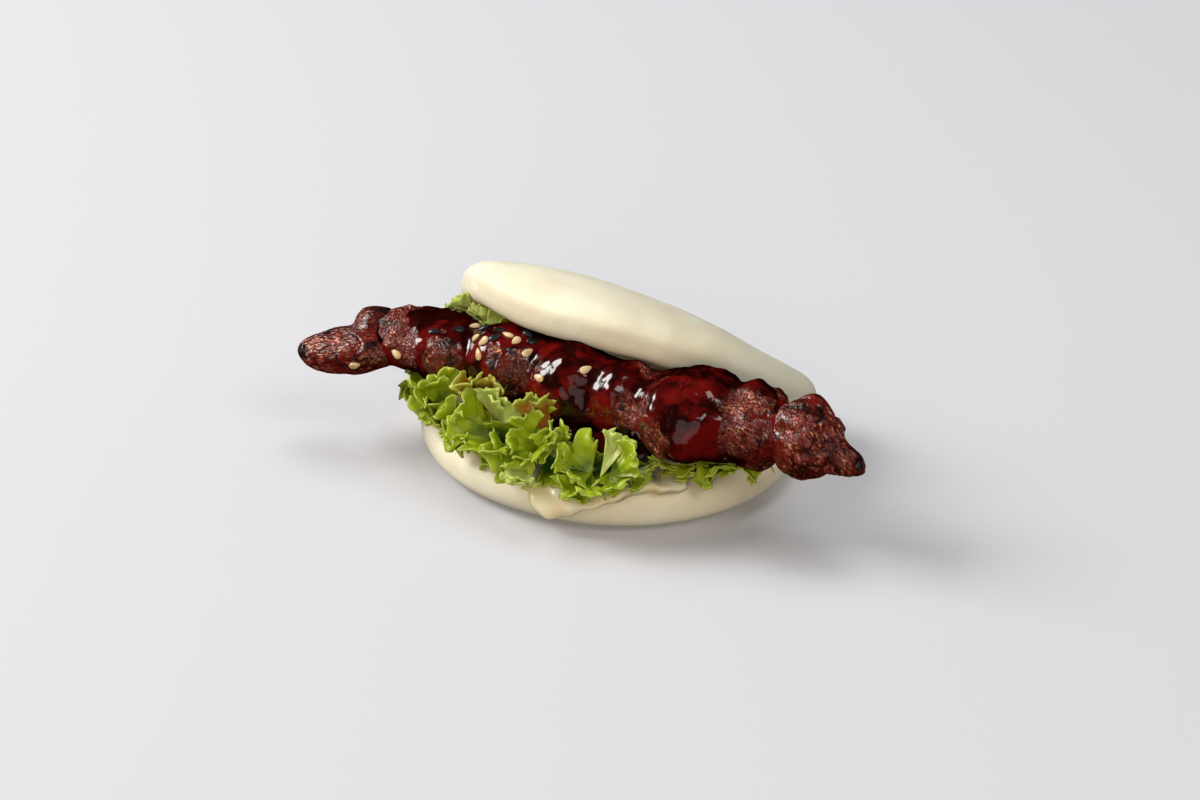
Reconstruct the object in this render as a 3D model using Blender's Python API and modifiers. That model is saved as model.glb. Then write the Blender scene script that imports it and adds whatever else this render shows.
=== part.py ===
"""A chicken bao bun: a folded steamed bun holding grilled glazed chicken, curly lettuce and mayonnaise.

Frame: +X runs along the fold and the row of chicken, the mouth of the bun faces -Y, +Z is up, and the
origin is on the flat underside, below the middle of the lower flap. Lengths are in metres.
"""

import math
import random

import bmesh
import bpy
import numpy as np
from mathutils import Matrix, Vector
from mathutils.bvhtree import BVHTree

MM = 0.001

# The bun, as an oval of dough that is folded over once.
BUN_HALF_LENGTH = 54.5 * MM      # half the oval's width, along the fold
BUN_HALF_WIDTH = 65.0 * MM       # half the oval's length, across the fold
BUN_THICKNESS = 12.0 * MM
BUN_OVAL_POWER = 2.2             # 2 is an ellipse, more is squarer
BUN_EDGE_REACH = 8.0 * MM        # how far in from the rim the edge is rounded
LOWER_FLAP_FRONT = -38.5 * MM    # y of the lower flap's front edge
LOWER_FLAP_FLAT = 58.0 * MM      # length of the lower flap that lies flat
FOLD_RADIUS = 10.3 * MM          # of the middle of the dough
FOLD_TURN = math.radians(122)    # turned by the tight part of the fold
FLAP_TURN = math.radians(58)     # turned by the upper flap, on its way over the filling
FLAP_END_DROOP = 8.0 * MM        # how much lower the upper flap is at its two ends
FLAP_SLANT = 0.15                # its fall per metre towards +x
BUN_WAIST = 0.12                 # how much narrower the oval is at the fold
BUN_WAIST_REACH = 26.0 * MM
LIP_SAG = 2.4 * MM               # how much lower the upper flap's rim hangs at one place
LIP_SAG_AT = -17.0 * MM          # that place's x
LIP_SAG_REACH = 20.0 * MM
BUN_CELLS = 24

GAP = 0.3 * MM                   # kept between neighbouring pieces


def clear_scene():
    """Remove the startup objects and their data."""
    for item in list(bpy.data.objects):
        bpy.data.objects.remove(item)
    for store in (bpy.data.meshes, bpy.data.curves, bpy.data.materials):
        for block in list(store):
            store.remove(block)


def new_collection(name, hidden=False):
    """Make a collection in the scene; a hidden one holds helpers."""
    collection = bpy.data.collections.new(name)
    bpy.context.scene.collection.children.link(collection)
    collection.hide_render = hidden
    return collection


def material(name, colour, roughness, metallic=0.0):
    """Make a Principled material of one plain finish."""
    made = bpy.data.materials.new(name)
    made.use_nodes = True
    shader = made.node_tree.nodes["Principled BSDF"]
    shader.inputs["Base Color"].default_value = (*colour, 1.0)
    shader.inputs["Roughness"].default_value = roughness
    shader.inputs["Metallic"].default_value = metallic
    made.diffuse_color = (*colour, 1.0)
    return made


def add_object(name, mesh, finish, collection):
    """Put a mesh in the scene as a named object with its finish."""
    made = bpy.data.objects.new(name, mesh)
    collection.objects.link(made)
    if finish:
        mesh.materials.append(finish)
    return made


def block_mesh(name, cells_x, cells_y, cells_z=1):
    """A cube from -1 to 1 whose faces are split into a grid."""
    mesh = bpy.data.meshes.new(name)
    shape = bmesh.new()
    bmesh.ops.create_cube(shape, size=2.0)
    for axis, cells in enumerate((cells_x, cells_y, cells_z)):
        if cells > 1:
            along = [
                edge
                for edge in shape.edges
                if abs((edge.verts[0].co - edge.verts[1].co).normalized()[axis]) > 0.9
            ]
            bmesh.ops.subdivide_edges(shape, edges=along, cuts=cells - 1, use_grid_fill=True)
    shape.to_mesh(mesh)
    shape.free()
    return mesh


# ---------------------------------------------------------------- the bun

def fold_path():
    """The middle of the dough in the YZ plane, as arrays of arc length, y, z and heading."""
    length = 2 * BUN_HALF_WIDTH
    steps = 1200
    t = np.linspace(0.0, length, steps + 1)
    fold_length = FOLD_RADIUS * FOLD_TURN
    into_fold = np.clip((t - LOWER_FLAP_FLAT) / fold_length, 0, 1)
    eased = into_fold * into_fold * (3 - 2 * into_fold)
    over = np.clip((t - LOWER_FLAP_FLAT - fold_length) / (length - LOWER_FLAP_FLAT - fold_length), 0, 1)
    heading = FOLD_TURN * (0.5 * eased + 0.5 * into_fold) + FLAP_TURN * over
    step = length / steps
    y = LOWER_FLAP_FRONT + np.concatenate([[0], np.cumsum(np.cos(heading[:-1]) * step)])
    z = BUN_THICKNESS / 2 + np.concatenate([[0], np.cumsum(np.sin(heading[:-1]) * step)])
    return t, y, z, heading


PATH_T, PATH_Y, PATH_Z, PATH_HEADING = fold_path()


def fold(x, across, height):
    """Bend a point of the flat oval: across is measured from its middle, height from its middle plane."""
    t = across + BUN_HALF_WIDTH
    middle = LOWER_FLAP_FLAT + 0.5 * FOLD_RADIUS * FOLD_TURN
    x = x * (1 - BUN_WAIST * np.exp(-((t - middle) / BUN_WAIST_REACH) ** 2))
    heading = np.interp(t, PATH_T, PATH_HEADING)
    y = np.interp(t, PATH_T, PATH_Y) + np.minimum(t, 0)
    z = np.interp(t, PATH_T, PATH_Z)
    beyond = np.maximum(t - 2 * BUN_HALF_WIDTH, 0)
    y = y + beyond * np.cos(heading) - height * np.sin(heading)
    z = z + beyond * np.sin(heading) + height * np.cos(heading)
    # The upper flap hangs lower at its ends, and slants down towards +x.
    upper = np.clip((t - LOWER_FLAP_FLAT) / (0.7 * BUN_HALF_WIDTH), 0, 1)
    upper = upper * upper * (3 - 2 * upper)
    z = z - upper * (FLAP_END_DROOP * (x / (0.8 * BUN_HALF_LENGTH)) ** 2 + FLAP_SLANT * x)
    lip = np.clip((t - 2 * BUN_HALF_WIDTH) / (22 * MM) + 1, 0, 1)
    z = z - LIP_SAG * lip * lip * (3 - 2 * lip) * np.exp(-((x - LIP_SAG_AT) / LIP_SAG_REACH) ** 2)
    return np.stack([x, y, z], axis=-1)


def oval_radius(angle):
    """Distance from the oval's middle to its rim."""
    c = np.abs(np.cos(angle)) / BUN_HALF_LENGTH
    s = np.abs(np.sin(angle)) / BUN_HALF_WIDTH
    return (c ** BUN_OVAL_POWER + s ** BUN_OVAL_POWER) ** (-1 / BUN_OVAL_POWER)


def dough_point(angle, inward, side, swell=0.0):
    """A point on the dough's skin.

    angle goes round the oval. inward is 0 at the rim and 1 in the middle. side is +1 on the inside of the
    folded bun and -1 on the outside. swell moves the skin outwards.
    """
    rim = oval_radius(angle)
    reach = BUN_EDGE_REACH / rim
    turn = np.clip(inward / reach, 0, 1) * math.pi / 2
    flat = np.clip((inward - reach) / (1 - reach), 0, 1)
    radius = rim - BUN_EDGE_REACH + (BUN_EDGE_REACH + swell) * np.cos(turn)
    radius = radius - flat * (rim - BUN_EDGE_REACH)
    half = BUN_THICKNESS / 2 + swell
    height = side * half * np.sin(turn) ** 0.8
    return fold(radius * np.cos(angle), radius * np.sin(angle), height)


def build_bun(finish, collection):
    """The folded steamed bun, one solid."""
    mesh = block_mesh("bun", BUN_CELLS, BUN_CELLS)
    places = np.array([v.co for v in mesh.vertices])
    ring = np.maximum(np.abs(places[:, 0]), np.abs(places[:, 1]))
    # Square rings become ovals, closer together in the middle, where the fold is, and at the rim.
    even = np.tan(places[:, :2] * math.pi / 4 / np.maximum(ring, 1e-9)[:, None])
    angle = np.arctan2(even[:, 1], even[:, 0])
    spaced = 0.4 * ring + 0.6 * ring * ring * (3 - 2 * ring)
    inward = np.clip(1 - spaced + 0.012, 0, 1)
    moved = dough_point(angle, inward, np.sign(places[:, 2]))
    for vertex, place in zip(mesh.vertices, moved):
        vertex.co = place
    mesh.shade_smooth()
    return add_object("bun", mesh, finish, collection)


# ---------------------------------------------------------------- the chicken

PIECE_CELLS = (7, 7, 8, 8, 8, 8, 7, 7)    # along each side of the block that each piece starts as
BLEND = 2.5 * MM                 # how softly the lumps of one piece flow together
BUMP = 1.3 * MM                  # height of the uneven grilled surface
BUMP_SIZE = 6.5 * MM
CHICKEN_GAP = 0.8 * MM           # between one piece of meat and the next

# Each piece of meat is a few lumps: centre x, y, z, half-sizes along, across and up, then yaw and pitch.
CHICKEN = {
    "chicken_1": [(-62.5, -17.5, 26.0, 15.0, 7.5, 6.0, 4, 13), (-58.0, -11.5, 32.6, 6.0, 4.4, 3.5, 0, 8)],
    "chicken_2": [(-48.5, -11.0, 30.6, 7.0, 9.5, 7.8, -10, 0), (-46.5, -13.5, 28.8, 6.0, 8.0, 5.4, 0, 0)],
    "chicken_3": [(-37.0, -12.0, 28.8, 8.0, 10.5, 8.8, -10, 0), (-38.5, -4.0, 29.5, 7.0, 5.0, 5.0, 0, 8)],
    "chicken_4": [(-20.0, -13.0, 28.5, 11.5, 10.5, 10.5, -15, 6), (-11.5, -9.5, 31.0, 8.0, 5.0, 5.2, 0, 0)],
    "chicken_5": [(-0.5, -15.5, 28.0, 12.0, 11.0, 10.7, 0, 4), (15.0, -16.5, 28.0, 10.0, 9.5, 9.8, -8, 0)],
    "chicken_6": [(32.0, -20.5, 28.5, 12.0, 11.5, 11.0, 12, 0), (38.0, -16.5, 27.5, 12.0, 9.5, 9.0, 0, -4),
                  (33.0, -11.0, 32.0, 11.0, 5.4, 5.6, 0, -6)],
    "chicken_7": [(49.0, -16.0, 27.5, 9.0, 10.0, 9.5, 10, 0), (50.5, -10.5, 32.0, 5.2, 4.8, 5.0, 0, 8)],
    "chicken_8": [(62.5, -17.0, 27.8, 8.8, 9.0, 10.6, -8, 14), (70.0, -18.5, 27.2, 11.0, 5.0, 4.7, -4, -20)],
}


def lattice_noise(points, size, seed):
    """Smooth uneven values from -1 to 1, with hills about as wide as size."""
    scaled = points / size
    cell = np.floor(scaled).astype(np.int64)
    part = scaled - cell
    part = part * part * part * (part * (part * 6 - 15) + 10)
    total = np.zeros(len(points))
    for corner in range(8):
        offset = np.array([corner & 1, corner >> 1 & 1, corner >> 2 & 1])
        key = (cell + offset) @ np.array([73856093, 19349663, 83492791]) + seed * 2654435761
        key = (key ^ (key >> 13)) * 1274126177 & 0xFFFFFFFF
        value = (key ^ (key >> 16)) % 65536 / 32767.5 - 1
        total += value * np.prod(np.where(offset, part, 1 - part), axis=1)
    return total


def lump_distance(points, lump):
    """Signed distance, near enough, from points to one turned ellipsoid."""
    centre = np.array(lump[:3]) * MM
    radii = np.array(lump[3:6]) * MM
    turn = Matrix.Rotation(math.radians(lump[6]), 3, "Z") @ Matrix.Rotation(math.radians(-lump[7]), 3, "Y")
    local = (points - centre) @ np.array(turn)
    near = np.linalg.norm(local / radii, axis=1)
    return near * (near - 1) / np.maximum(np.linalg.norm(local / radii ** 2, axis=1), 1e-9)


def meat_distance(points, lumps, seed):
    """Signed distance to a piece of meat: its lumps, flowing together, with an uneven surface."""
    total = lump_distance(points, lumps[0])
    for lump in lumps[1:]:
        other = lump_distance(points, lump)
        near = np.clip(0.5 + 0.5 * (other - total) / BLEND, 0, 1)
        total = other * (1 - near) + total * near - BLEND * near * (1 - near)
    rough = lattice_noise(points, BUMP_SIZE, seed) + 0.5 * lattice_noise(points, BUMP_SIZE / 2, seed + 50)
    return total - BUMP * rough


def cut_distance(points, index, pieces):
    """Signed distance to one piece, trimmed halfway to its neighbours with a gap between them."""
    own = meat_distance(points, pieces[index], index)
    for other in (index - 1, index + 1):
        if 0 <= other < len(pieces):
            theirs = meat_distance(points, pieces[other], other)
            own = np.maximum(own, (own - theirs + CHICKEN_GAP) / 2)
    return own


def build_chicken(finish, collection):
    """The row of grilled pieces, each a block grown outwards to the surface of its lumps."""
    pieces = list(CHICKEN.values())
    made = []
    for index, name in enumerate(CHICKEN):
        mesh = block_mesh(name, *[PIECE_CELLS[index]] * 3)
        ways = np.tan(np.array([v.co for v in mesh.vertices]) * math.pi / 4)
        ways /= np.linalg.norm(ways, axis=1)[:, None]
        lumps = np.array([lump[:3] for lump in pieces[index]]) * MM
        centre = lumps[0] * 0.75 + lumps[-1] * 0.25
        low = np.zeros(len(ways))
        high = np.full(len(ways), 30 * MM)
        for _ in range(22):
            middle = (low + high) / 2
            inside = cut_distance(centre + ways * middle[:, None], index, pieces) < 0
            low = np.where(inside, middle, low)
            high = np.where(inside, high, middle)
        for vertex, place in zip(mesh.vertices, centre + ways * low[:, None]):
            vertex.co = place
        mesh.shade_smooth()
        made.append(add_object(name, mesh, finish, collection))
    return made


# ---------------------------------------------------------------- keeping pieces apart

def tree_of(pieces, facing=None):
    """One search tree of these objects' surfaces, or only of the faces that this test keeps."""
    places = []
    faces = []
    for piece in pieces:
        start = len(places)
        places += [v.co.copy() for v in piece.data.vertices]
        kept = [face for face in piece.data.polygons if facing is None or facing(face)]
        faces += [[start + i for i in face.vertices] for face in kept]
    return BVHTree.FromPolygons(places, faces)


def push_clear(points, tree, clearance, deepest):
    """Move points out of the surface in the tree until they keep the clearance.

    Points further behind the surface than deepest are taken to be somewhere else, and stay.
    """
    for i, point in enumerate(points):
        near, normal, _, distance = tree.find_nearest(Vector(point))
        outwards = (Vector(point) - near).dot(normal)
        if (outwards < 0 and distance < deepest) or (outwards >= 0 and distance < clearance):
            way = normal if outwards < 0 or distance < 1e-7 else (Vector(point) - near) / distance
            points[i] = near + way * clearance
    return points


def keep_off(pieces, tree, clearance):
    """Move the pieces' own points clear of a surface."""
    for piece in pieces:
        places = push_clear(np.array([v.co for v in piece.data.vertices]), tree, clearance, 1.0)
        for vertex, place in zip(piece.data.vertices, places):
            vertex.co = place


# ---------------------------------------------------------------- the mayonnaise

MAYO_THICKNESS = 2.4 * MM
MAYO_ANGLES = (math.radians(-92), math.radians(-55))     # its two ends, round the oval
MAYO_SKIN = (0.42, -0.020)       # from under the lettuce, over the rim, to its lower edge
MAYO_CELLS = (18, 9)
MAYO_GAP = 0.45 * MM


def skin_point(angle, along, swell):
    """A point off the dough: along is 1 in the middle of the inside, 0 at the rim and below 0 underneath."""
    return dough_point(angle, np.abs(along), np.where(along < 0, -1, 1), swell)


def build_mayonnaise(finish, collection):
    """The mayonnaise spread on the lower flap, hanging over its front edge, and which faces are its top."""
    mesh = block_mesh("mayonnaise", *MAYO_CELLS)
    top = {face.index for face in mesh.polygons if face.normal.z > 0.9}
    places = np.array([v.co for v in mesh.vertices])
    u = places[:, 0]
    v = places[:, 1]
    out = 1 - ((1 + v) / 2) ** 1.7
    angle = MAYO_ANGLES[0] + (MAYO_ANGLES[1] - MAYO_ANGLES[0]) * (u + 1) / 2
    angle -= 0.04 * np.sin(5 * v) * (1 - u)
    edge = 0.006 * np.sin(9 * u + 1) + 0.003 * np.sin(21 * u) - 0.065 * (u + 1) / 2
    along = MAYO_SKIN[0] + (MAYO_SKIN[1] - MAYO_SKIN[0] - edge) * out
    dome = ((1 - u ** 6) * (1 - v ** 6)) ** 0.5
    thick = MAYO_THICKNESS * (0.12 + 0.88 * dome * (0.72 + 0.28 * np.sin(7 * u - 2 * v) * np.cos(4 * v)))
    swell = MAYO_GAP + np.where(places[:, 2] > 0, thick, 0)
    for vertex, place in zip(mesh.vertices, skin_point(angle, along, swell)):
        vertex.co = place
    mesh.shade_smooth()
    return add_object("mayonnaise", mesh, finish, collection), top


# ---------------------------------------------------------------- the lettuce

LEAF_THICKNESS = 0.8 * MM
LEAF_CLEAR = LEAF_THICKNESS / 2 + 0.75 * MM

# Each size of ruffle: how many times finer, its height, how much it grows towards the margin, its overhang.
RUFFLES = ((0.53, 1.8 * MM, 0.7, 0.3), (1.0, 3.0 * MM, 1.3, 0.55), (2.3, 1.2 * MM, 2.2, 0.4))

# Each leaf lies between three lines: the margin nearer the chicken, its middle, and the margin by the rim.
LEAVES = {
    "leaf_left": {
        "upper": [(-50, -15, 17), (-46, -22, 19), (-36, -24.5, 22), (-24, -26, 24), (-12, -27, 23),
                  (-2.5, -28, 20)],
        "middle": [(-48, -10, 15), (-43, -16, 15), (-34, -21, 15), (-24, -25, 15), (-13, -28, 15),
                   (-2.5, -30, 15)],
        "lower": [(-50.5, -9, 18), (-44.5, -20, 16), (-34, -29, 15.5), (-24, -35, 15), (-12, -39.5, 14),
                  (-2.5, -41.5, 12)],
        "cells": (60, 7),
        "waves": 6,
    },
    "leaf_middle": {
        "upper": [(-0.5, -28, 20), (6, -26, 21), (13, -26, 24), (19, -27, 21), (25, -26, 18)],
        "middle": [(-0.5, -31, 15), (6, -30, 15), (13, -29, 15), (19, -28, 15), (25, -26, 15)],
        "lower": [(-0.5, -41.5, 12), (6, -41, 12), (13, -43, 10), (19, -38, 13.5), (26, -32, 15)],
        "cells": (30, 7),
        "waves": 2.7,
    },
    "leaf_right": {
        "upper": [(28, -17, 15.5), (35, -16, 15.5), (42, -13, 15.5), (47, -10, 15.5), (50, -6.5, 15.5)],
        "middle": [(28, -21.5, 15.3), (35, -20, 15.3), (42, -16.5, 15.3), (47.5, -12.5, 15.3),
                   (51, -8.5, 15.3)],
        "lower": [(29, -28, 15), (36, -25, 15), (42.5, -21.5, 14.5), (48.5, -17, 14.5), (53, -11.5, 15)],
        "cells": (28, 5),
        "waves": 2,
    },
    "leaf_back": {
        "upper": [(-47, 6, 33), (-41, 6, 35), (-36, 6, 35), (-30, 5.5, 34), (-22, 5, 31)],
        "middle": [(-45, 7.5, 27), (-40, 7.5, 28), (-35, 7.5, 28), (-29, 7.5, 27), (-22, 7, 26)],
        "lower": [(-42, 8, 20), (-37, 8, 20), (-32, 8, 20), (-27, 8, 20), (-22, 8, 20)],
        "cells": (18, 4),
        "waves": 2.5,
    },
}


def through(points, u):
    """Points at u, from 0 to 1, on a smooth curve through these."""
    knots = np.array(points, float) * MM
    knots = np.vstack([2 * knots[0] - knots[1], knots, 2 * knots[-1] - knots[-2]])
    place = np.clip(u, 0, 1) * (len(points) - 1)
    first = np.minimum(place.astype(int), len(points) - 2)
    t = (place - first)[:, None]
    a, b, c, d = (knots[first + i] for i in range(4))
    bend = (2 * a - 5 * b + 4 * c - d) * t ** 2 + (3 * b - a - 3 * c + d) * t ** 3
    return b + 0.5 * ((c - a) * t + bend)


def leaf_base(leaf, u, v):
    """The leaf before it is ruffled; v is -1 on the upper margin and +1 on the lower."""
    middle = through(leaf["middle"], u)
    towards_upper = (np.hypot(v, 0.22) - v)[:, None] / 2
    towards_lower = (np.hypot(v, 0.22) + v)[:, None] / 2
    upper = through(leaf["upper"], u) - middle
    lower = through(leaf["lower"], u) - middle
    return middle + upper * towards_upper + lower * towards_lower


def leaf_sheet(leaf, u, v):
    """The ruffled middle surface of a leaf."""
    step = 1e-3
    base = leaf_base(leaf, u, v)
    along = leaf_base(leaf, np.minimum(u + step, 1), v) - leaf_base(leaf, np.maximum(u - step, 0), v)
    across = leaf_base(leaf, u, v + step) - leaf_base(leaf, u, v - step)
    along /= np.linalg.norm(along, axis=1)[:, None]
    across /= np.linalg.norm(across, axis=1)[:, None]
    normal = np.cross(across, along)
    normal /= np.linalg.norm(normal, axis=1)[:, None]
    reach = np.abs(v)
    fade = np.clip(6 * np.minimum(u, 1 - u), 0, 1)
    moved = base.copy()
    for scale, height, power, overhang in RUFFLES:
        phase = math.tau * leaf["waves"] * scale * u + 1.3 * scale + 0.8 * np.sign(v) + 0.7 * v
        phase += 0.9 * np.sin(math.tau * (1.7 * u + 0.37 * scale)) + 0.6 * np.sin(math.tau * 4.3 * u + v)
        grown = height * reach ** power * (1 + 0.4 * np.sin(math.tau * (2.9 * u + 0.21 * scale) + v))
        moved += normal * (grown * np.sin(phase))[:, None]
        moved += along * (overhang * grown * np.sin(2 * phase) * fade)[:, None]
        moved += across * (0.3 * overhang * grown * np.cos(phase) * np.sign(v))[:, None]
    return moved


def build_leaf(name, obstacles, finish, collection):
    """One ruffled leaf, pushed clear of what it touches and then given its thickness."""
    leaf = LEAVES[name]
    mesh = bpy.data.meshes.new(name)
    shape = bmesh.new()
    bmesh.ops.create_grid(shape, x_segments=leaf["cells"][0], y_segments=leaf["cells"][1], size=1)
    bmesh.ops.triangulate(shape, faces=shape.faces)
    shape.to_mesh(mesh)
    shape.free()
    flat = np.array([v.co for v in mesh.vertices])
    places = leaf_sheet(leaf, (flat[:, 0] + 1) / 2, flat[:, 1])
    for _ in range(4):
        for tree, clearance, deepest in obstacles:
            places = push_clear(places, tree, clearance, deepest)
    for vertex, place in zip(mesh.vertices, places):
        vertex.co = place
    mesh.shade_smooth()
    made = add_object(name, mesh, finish, collection)
    solid = made.modifiers.new("thickness", "SOLIDIFY")
    solid.thickness = LEAF_THICKNESS
    solid.offset = 0
    return made


# ---------------------------------------------------------------- the sesame seeds

SEED_SIZE = (3.3 * MM, 1.9 * MM, 1.0 * MM)

# The piece each seed lies on, and where: x, y, z.
SEEDS = [
    ("chicken_3", -30.8, -9.9, 35.5),
    ("chicken_4", -26.6, -16.3, 35.2),
    ("chicken_4", -23.5, -19.1, 37.5),
    ("chicken_4", -18.3, -15.9, 38.1),
    ("chicken_4", -15.6, -16.9, 37.8),
    ("chicken_4", -24.0, -20.6, 34.4),
    ("chicken_4", -12.0, -17.3, 34.9),
    ("chicken_5", -5.7, -23.9, 33.5),
    ("chicken_5", 5.4, -20.6, 36.3),
    ("chicken_2", -47.4, -20.4, 29.7),
    ("chicken_1", -58.0, -23.5, 25.9),
    ("chicken_3", -38.4, -17.4, 36.6),
    ("chicken_3", -33.3, -14.1, 36.4),
    ("chicken_4", -26.4, -13.2, 37.8),
    ("chicken_4", -20.9, -17.9, 37.8),
    ("chicken_4", -21.6, -14.2, 38.1),
    ("chicken_4", -14.3, -12.9, 37.2),
    ("chicken_4", -12.3, -14.2, 36.3),
]


def seed_mesh(place, normal, turn):
    """One sesame seed, a flat drop, lying on a surface."""
    mesh = bpy.data.meshes.new("seed")
    shape = bmesh.new()
    bmesh.ops.create_uvsphere(shape, u_segments=6, v_segments=4, radius=0.5)
    for vertex in shape.verts:
        x, y, z = vertex.co
        narrow = 1 - 0.7 * z
        vertex.co = (z * SEED_SIZE[0], x * SEED_SIZE[1] * narrow, y * SEED_SIZE[2] * narrow)
    bmesh.ops.recalc_face_normals(shape, faces=shape.faces)
    frame = normal.to_track_quat("Z", "Y").to_matrix().to_4x4() @ Matrix.Rotation(turn, 4, "Z")
    shape.transform(Matrix.Translation(place + normal * 0.25 * SEED_SIZE[2]) @ frame)
    shape.to_mesh(mesh)
    shape.free()
    return mesh


def add_seeds(chicken):
    """Fuse each seed to its piece of chicken."""
    draw = random.Random(7)
    turns = [draw.uniform(0, 2 * math.pi) for _ in SEEDS]
    for piece in chicken:
        tree = tree_of([piece])
        helpers = new_collection("seeds_" + piece.name, hidden=True)
        for (name, *place), turn in zip(SEEDS, turns):
            if name != piece.name:
                continue
            near, normal, _, _ = tree.find_nearest(Vector(place) * MM)
            add_object("seed", seed_mesh(near, normal, turn), None, helpers)
        if not helpers.objects:
            bpy.data.collections.remove(helpers)
            continue
        union = piece.modifiers.new("seeds", "BOOLEAN")
        union.operation = "UNION"
        union.operand_type = "COLLECTION"
        union.collection = helpers
        union.solver = "EXACT"
        with bpy.context.temp_override(object=piece, active_object=piece):
            bpy.ops.object.modifier_apply(modifier=union.name)
        for helper in list(helpers.objects):
            bpy.data.objects.remove(helper)
        bpy.data.collections.remove(helpers)


# ---------------------------------------------------------------- the whole


def main():
    """Build every piece of the bao bun."""
    clear_scene()
    parts = new_collection("chicken_bao_bun")
    dough = material("steamed_dough", (0.86, 0.80, 0.66), 0.55)
    meat = material("glazed_chicken", (0.24, 0.05, 0.03), 0.25)
    green = material("green_leaf", (0.30, 0.50, 0.05), 0.45)
    cream = material("mayonnaise", (0.90, 0.84, 0.62), 0.25)
    bun = build_bun(dough, parts)
    mayonnaise, mayonnaise_top = build_mayonnaise(cream, parts)
    chicken = build_chicken(meat, parts)
    keep_off(chicken, tree_of([bun]), 2 * GAP)
    top = tree_of([mayonnaise], lambda face: face.index in mayonnaise_top)
    obstacles = [
        (tree_of([bun]), LEAF_CLEAR, 1.0),
        (top, LEAF_CLEAR + 2 * GAP, 4 * MM),
        (tree_of(chicken), LEAF_CLEAR + 0.5 * GAP, 1.0),
    ]
    for name in LEAVES:
        build_leaf(name, obstacles, green, parts)
    add_seeds(chicken)


main()
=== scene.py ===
"""The dressed chicken bao bun: soft steamed dough, glazed and charred chicken, curly lettuce, mayonnaise,
sesame seeds and the sauce between the pieces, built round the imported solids.

The frame is the part's own, in metres: +X along the fold and the row of chicken, the mouth of the bun faces
-Y, +Z is up, and the origin is on the flat underside.
"""

from __future__ import annotations

import logging
import math
import random
from collections.abc import Callable, Iterator, Sequence
from contextlib import contextmanager
from dataclasses import dataclass
from enum import Enum, IntEnum

import bmesh
import bpy
import numpy as np
from mathutils import Matrix, Vector
from mathutils.bvhtree import BVHTree


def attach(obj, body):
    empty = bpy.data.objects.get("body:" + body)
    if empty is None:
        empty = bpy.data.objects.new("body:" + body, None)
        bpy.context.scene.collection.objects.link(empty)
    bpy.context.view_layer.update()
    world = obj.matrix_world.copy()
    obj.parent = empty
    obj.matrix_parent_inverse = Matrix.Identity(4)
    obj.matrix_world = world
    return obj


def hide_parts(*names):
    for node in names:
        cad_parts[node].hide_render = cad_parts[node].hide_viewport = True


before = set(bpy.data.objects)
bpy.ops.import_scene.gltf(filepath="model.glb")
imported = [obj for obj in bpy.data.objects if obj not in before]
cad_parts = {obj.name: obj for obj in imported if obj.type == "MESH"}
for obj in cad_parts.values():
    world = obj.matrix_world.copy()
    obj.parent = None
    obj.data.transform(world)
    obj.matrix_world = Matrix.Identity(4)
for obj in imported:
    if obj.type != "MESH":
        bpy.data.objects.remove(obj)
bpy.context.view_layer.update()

MM = 0.001
FIBRE_STRETCH = 0.5
NO_FIBRES = (0.0, 0.0, 0.0)
Colour = tuple[float, float, float]
Place = tuple[float, float, float]
log = logging.getLogger("bao_bun")


class Pattern(IntEnum):
    """Which pattern of noise each kind of unevenness takes, so that no two look alike."""

    DOUGH = 3
    FLAKES = 20
    SMALL_BUMPS = 50
    FIBRES = 60
    BARE = 90
    CHAR = 130
    FOLDS = 170
    LOBES = 300
    BROKEN_EDGE = 411
    RIPPLES = 555
    CRUMBS = 777
    POOL = 901
    FRILLS = 1000


# ---------------------------------------------------------------- meshes


@contextmanager
def shaping(mesh: bpy.types.Mesh) -> Iterator[bmesh.types.BMesh]:
    """Open a mesh for editing, and put the edited shape back into it afterwards."""
    shape = bmesh.new()
    shape.from_mesh(mesh)
    yield shape
    shape.to_mesh(mesh)
    shape.free()


def runs_along(edge: bmesh.types.BMEdge, axis: int) -> bool:
    """Say whether an edge lies along x, y or z."""
    return abs((edge.verts[0].co - edge.verts[1].co).normalized()[axis]) > 0.9


def block_mesh(name: str, cells: tuple[int, int, int]) -> bpy.types.Mesh:
    """Make a cube from -1 to 1 whose faces are split into a grid.

    Args:
        name: the mesh's name.
        cells: how many cells along x, y and z.

    Returns:
        The mesh.
    """
    mesh = bpy.data.meshes.new(name)
    with shaping(mesh) as shape:
        bmesh.ops.create_cube(shape, size=2.0)
        for axis, count in enumerate(cells):
            if count > 1:
                along = [edge for edge in shape.edges if runs_along(edge, axis)]
                bmesh.ops.subdivide_edges(shape, edges=along, cuts=count - 1, use_grid_fill=True)
    return mesh


def grid_mesh(name: str, cells: tuple[int, int], half: float = 1.0) -> bpy.types.Mesh:
    """Make a flat grid that reaches this far each way."""
    mesh = bpy.data.meshes.new(name)
    with shaping(mesh) as shape:
        bmesh.ops.create_grid(shape, x_segments=cells[0], y_segments=cells[1], size=half)
    return mesh


def places_of(mesh: bpy.types.Mesh) -> np.ndarray:
    """Read a mesh's vertices as rows of x, y, z."""
    flat = np.empty(len(mesh.vertices) * 3)
    mesh.vertices.foreach_get("co", flat)
    return flat.reshape(-1, 3)


def move_to(mesh: bpy.types.Mesh, places: np.ndarray) -> None:
    """Move a mesh's vertices to these places."""
    mesh.vertices.foreach_set("co", np.ascontiguousarray(places, np.float32).ravel())
    mesh.update()


def weld(mesh: bpy.types.Mesh, distance: float) -> None:
    """Join vertices that lie nearer than this."""
    with shaping(mesh) as shape:
        bmesh.ops.remove_doubles(shape, verts=shape.verts, dist=distance)


def normals_of(mesh: bpy.types.Mesh) -> np.ndarray:
    """Read a mesh's vertex normals as rows of x, y, z."""
    return np.array([v.normal for v in mesh.vertices])


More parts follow.
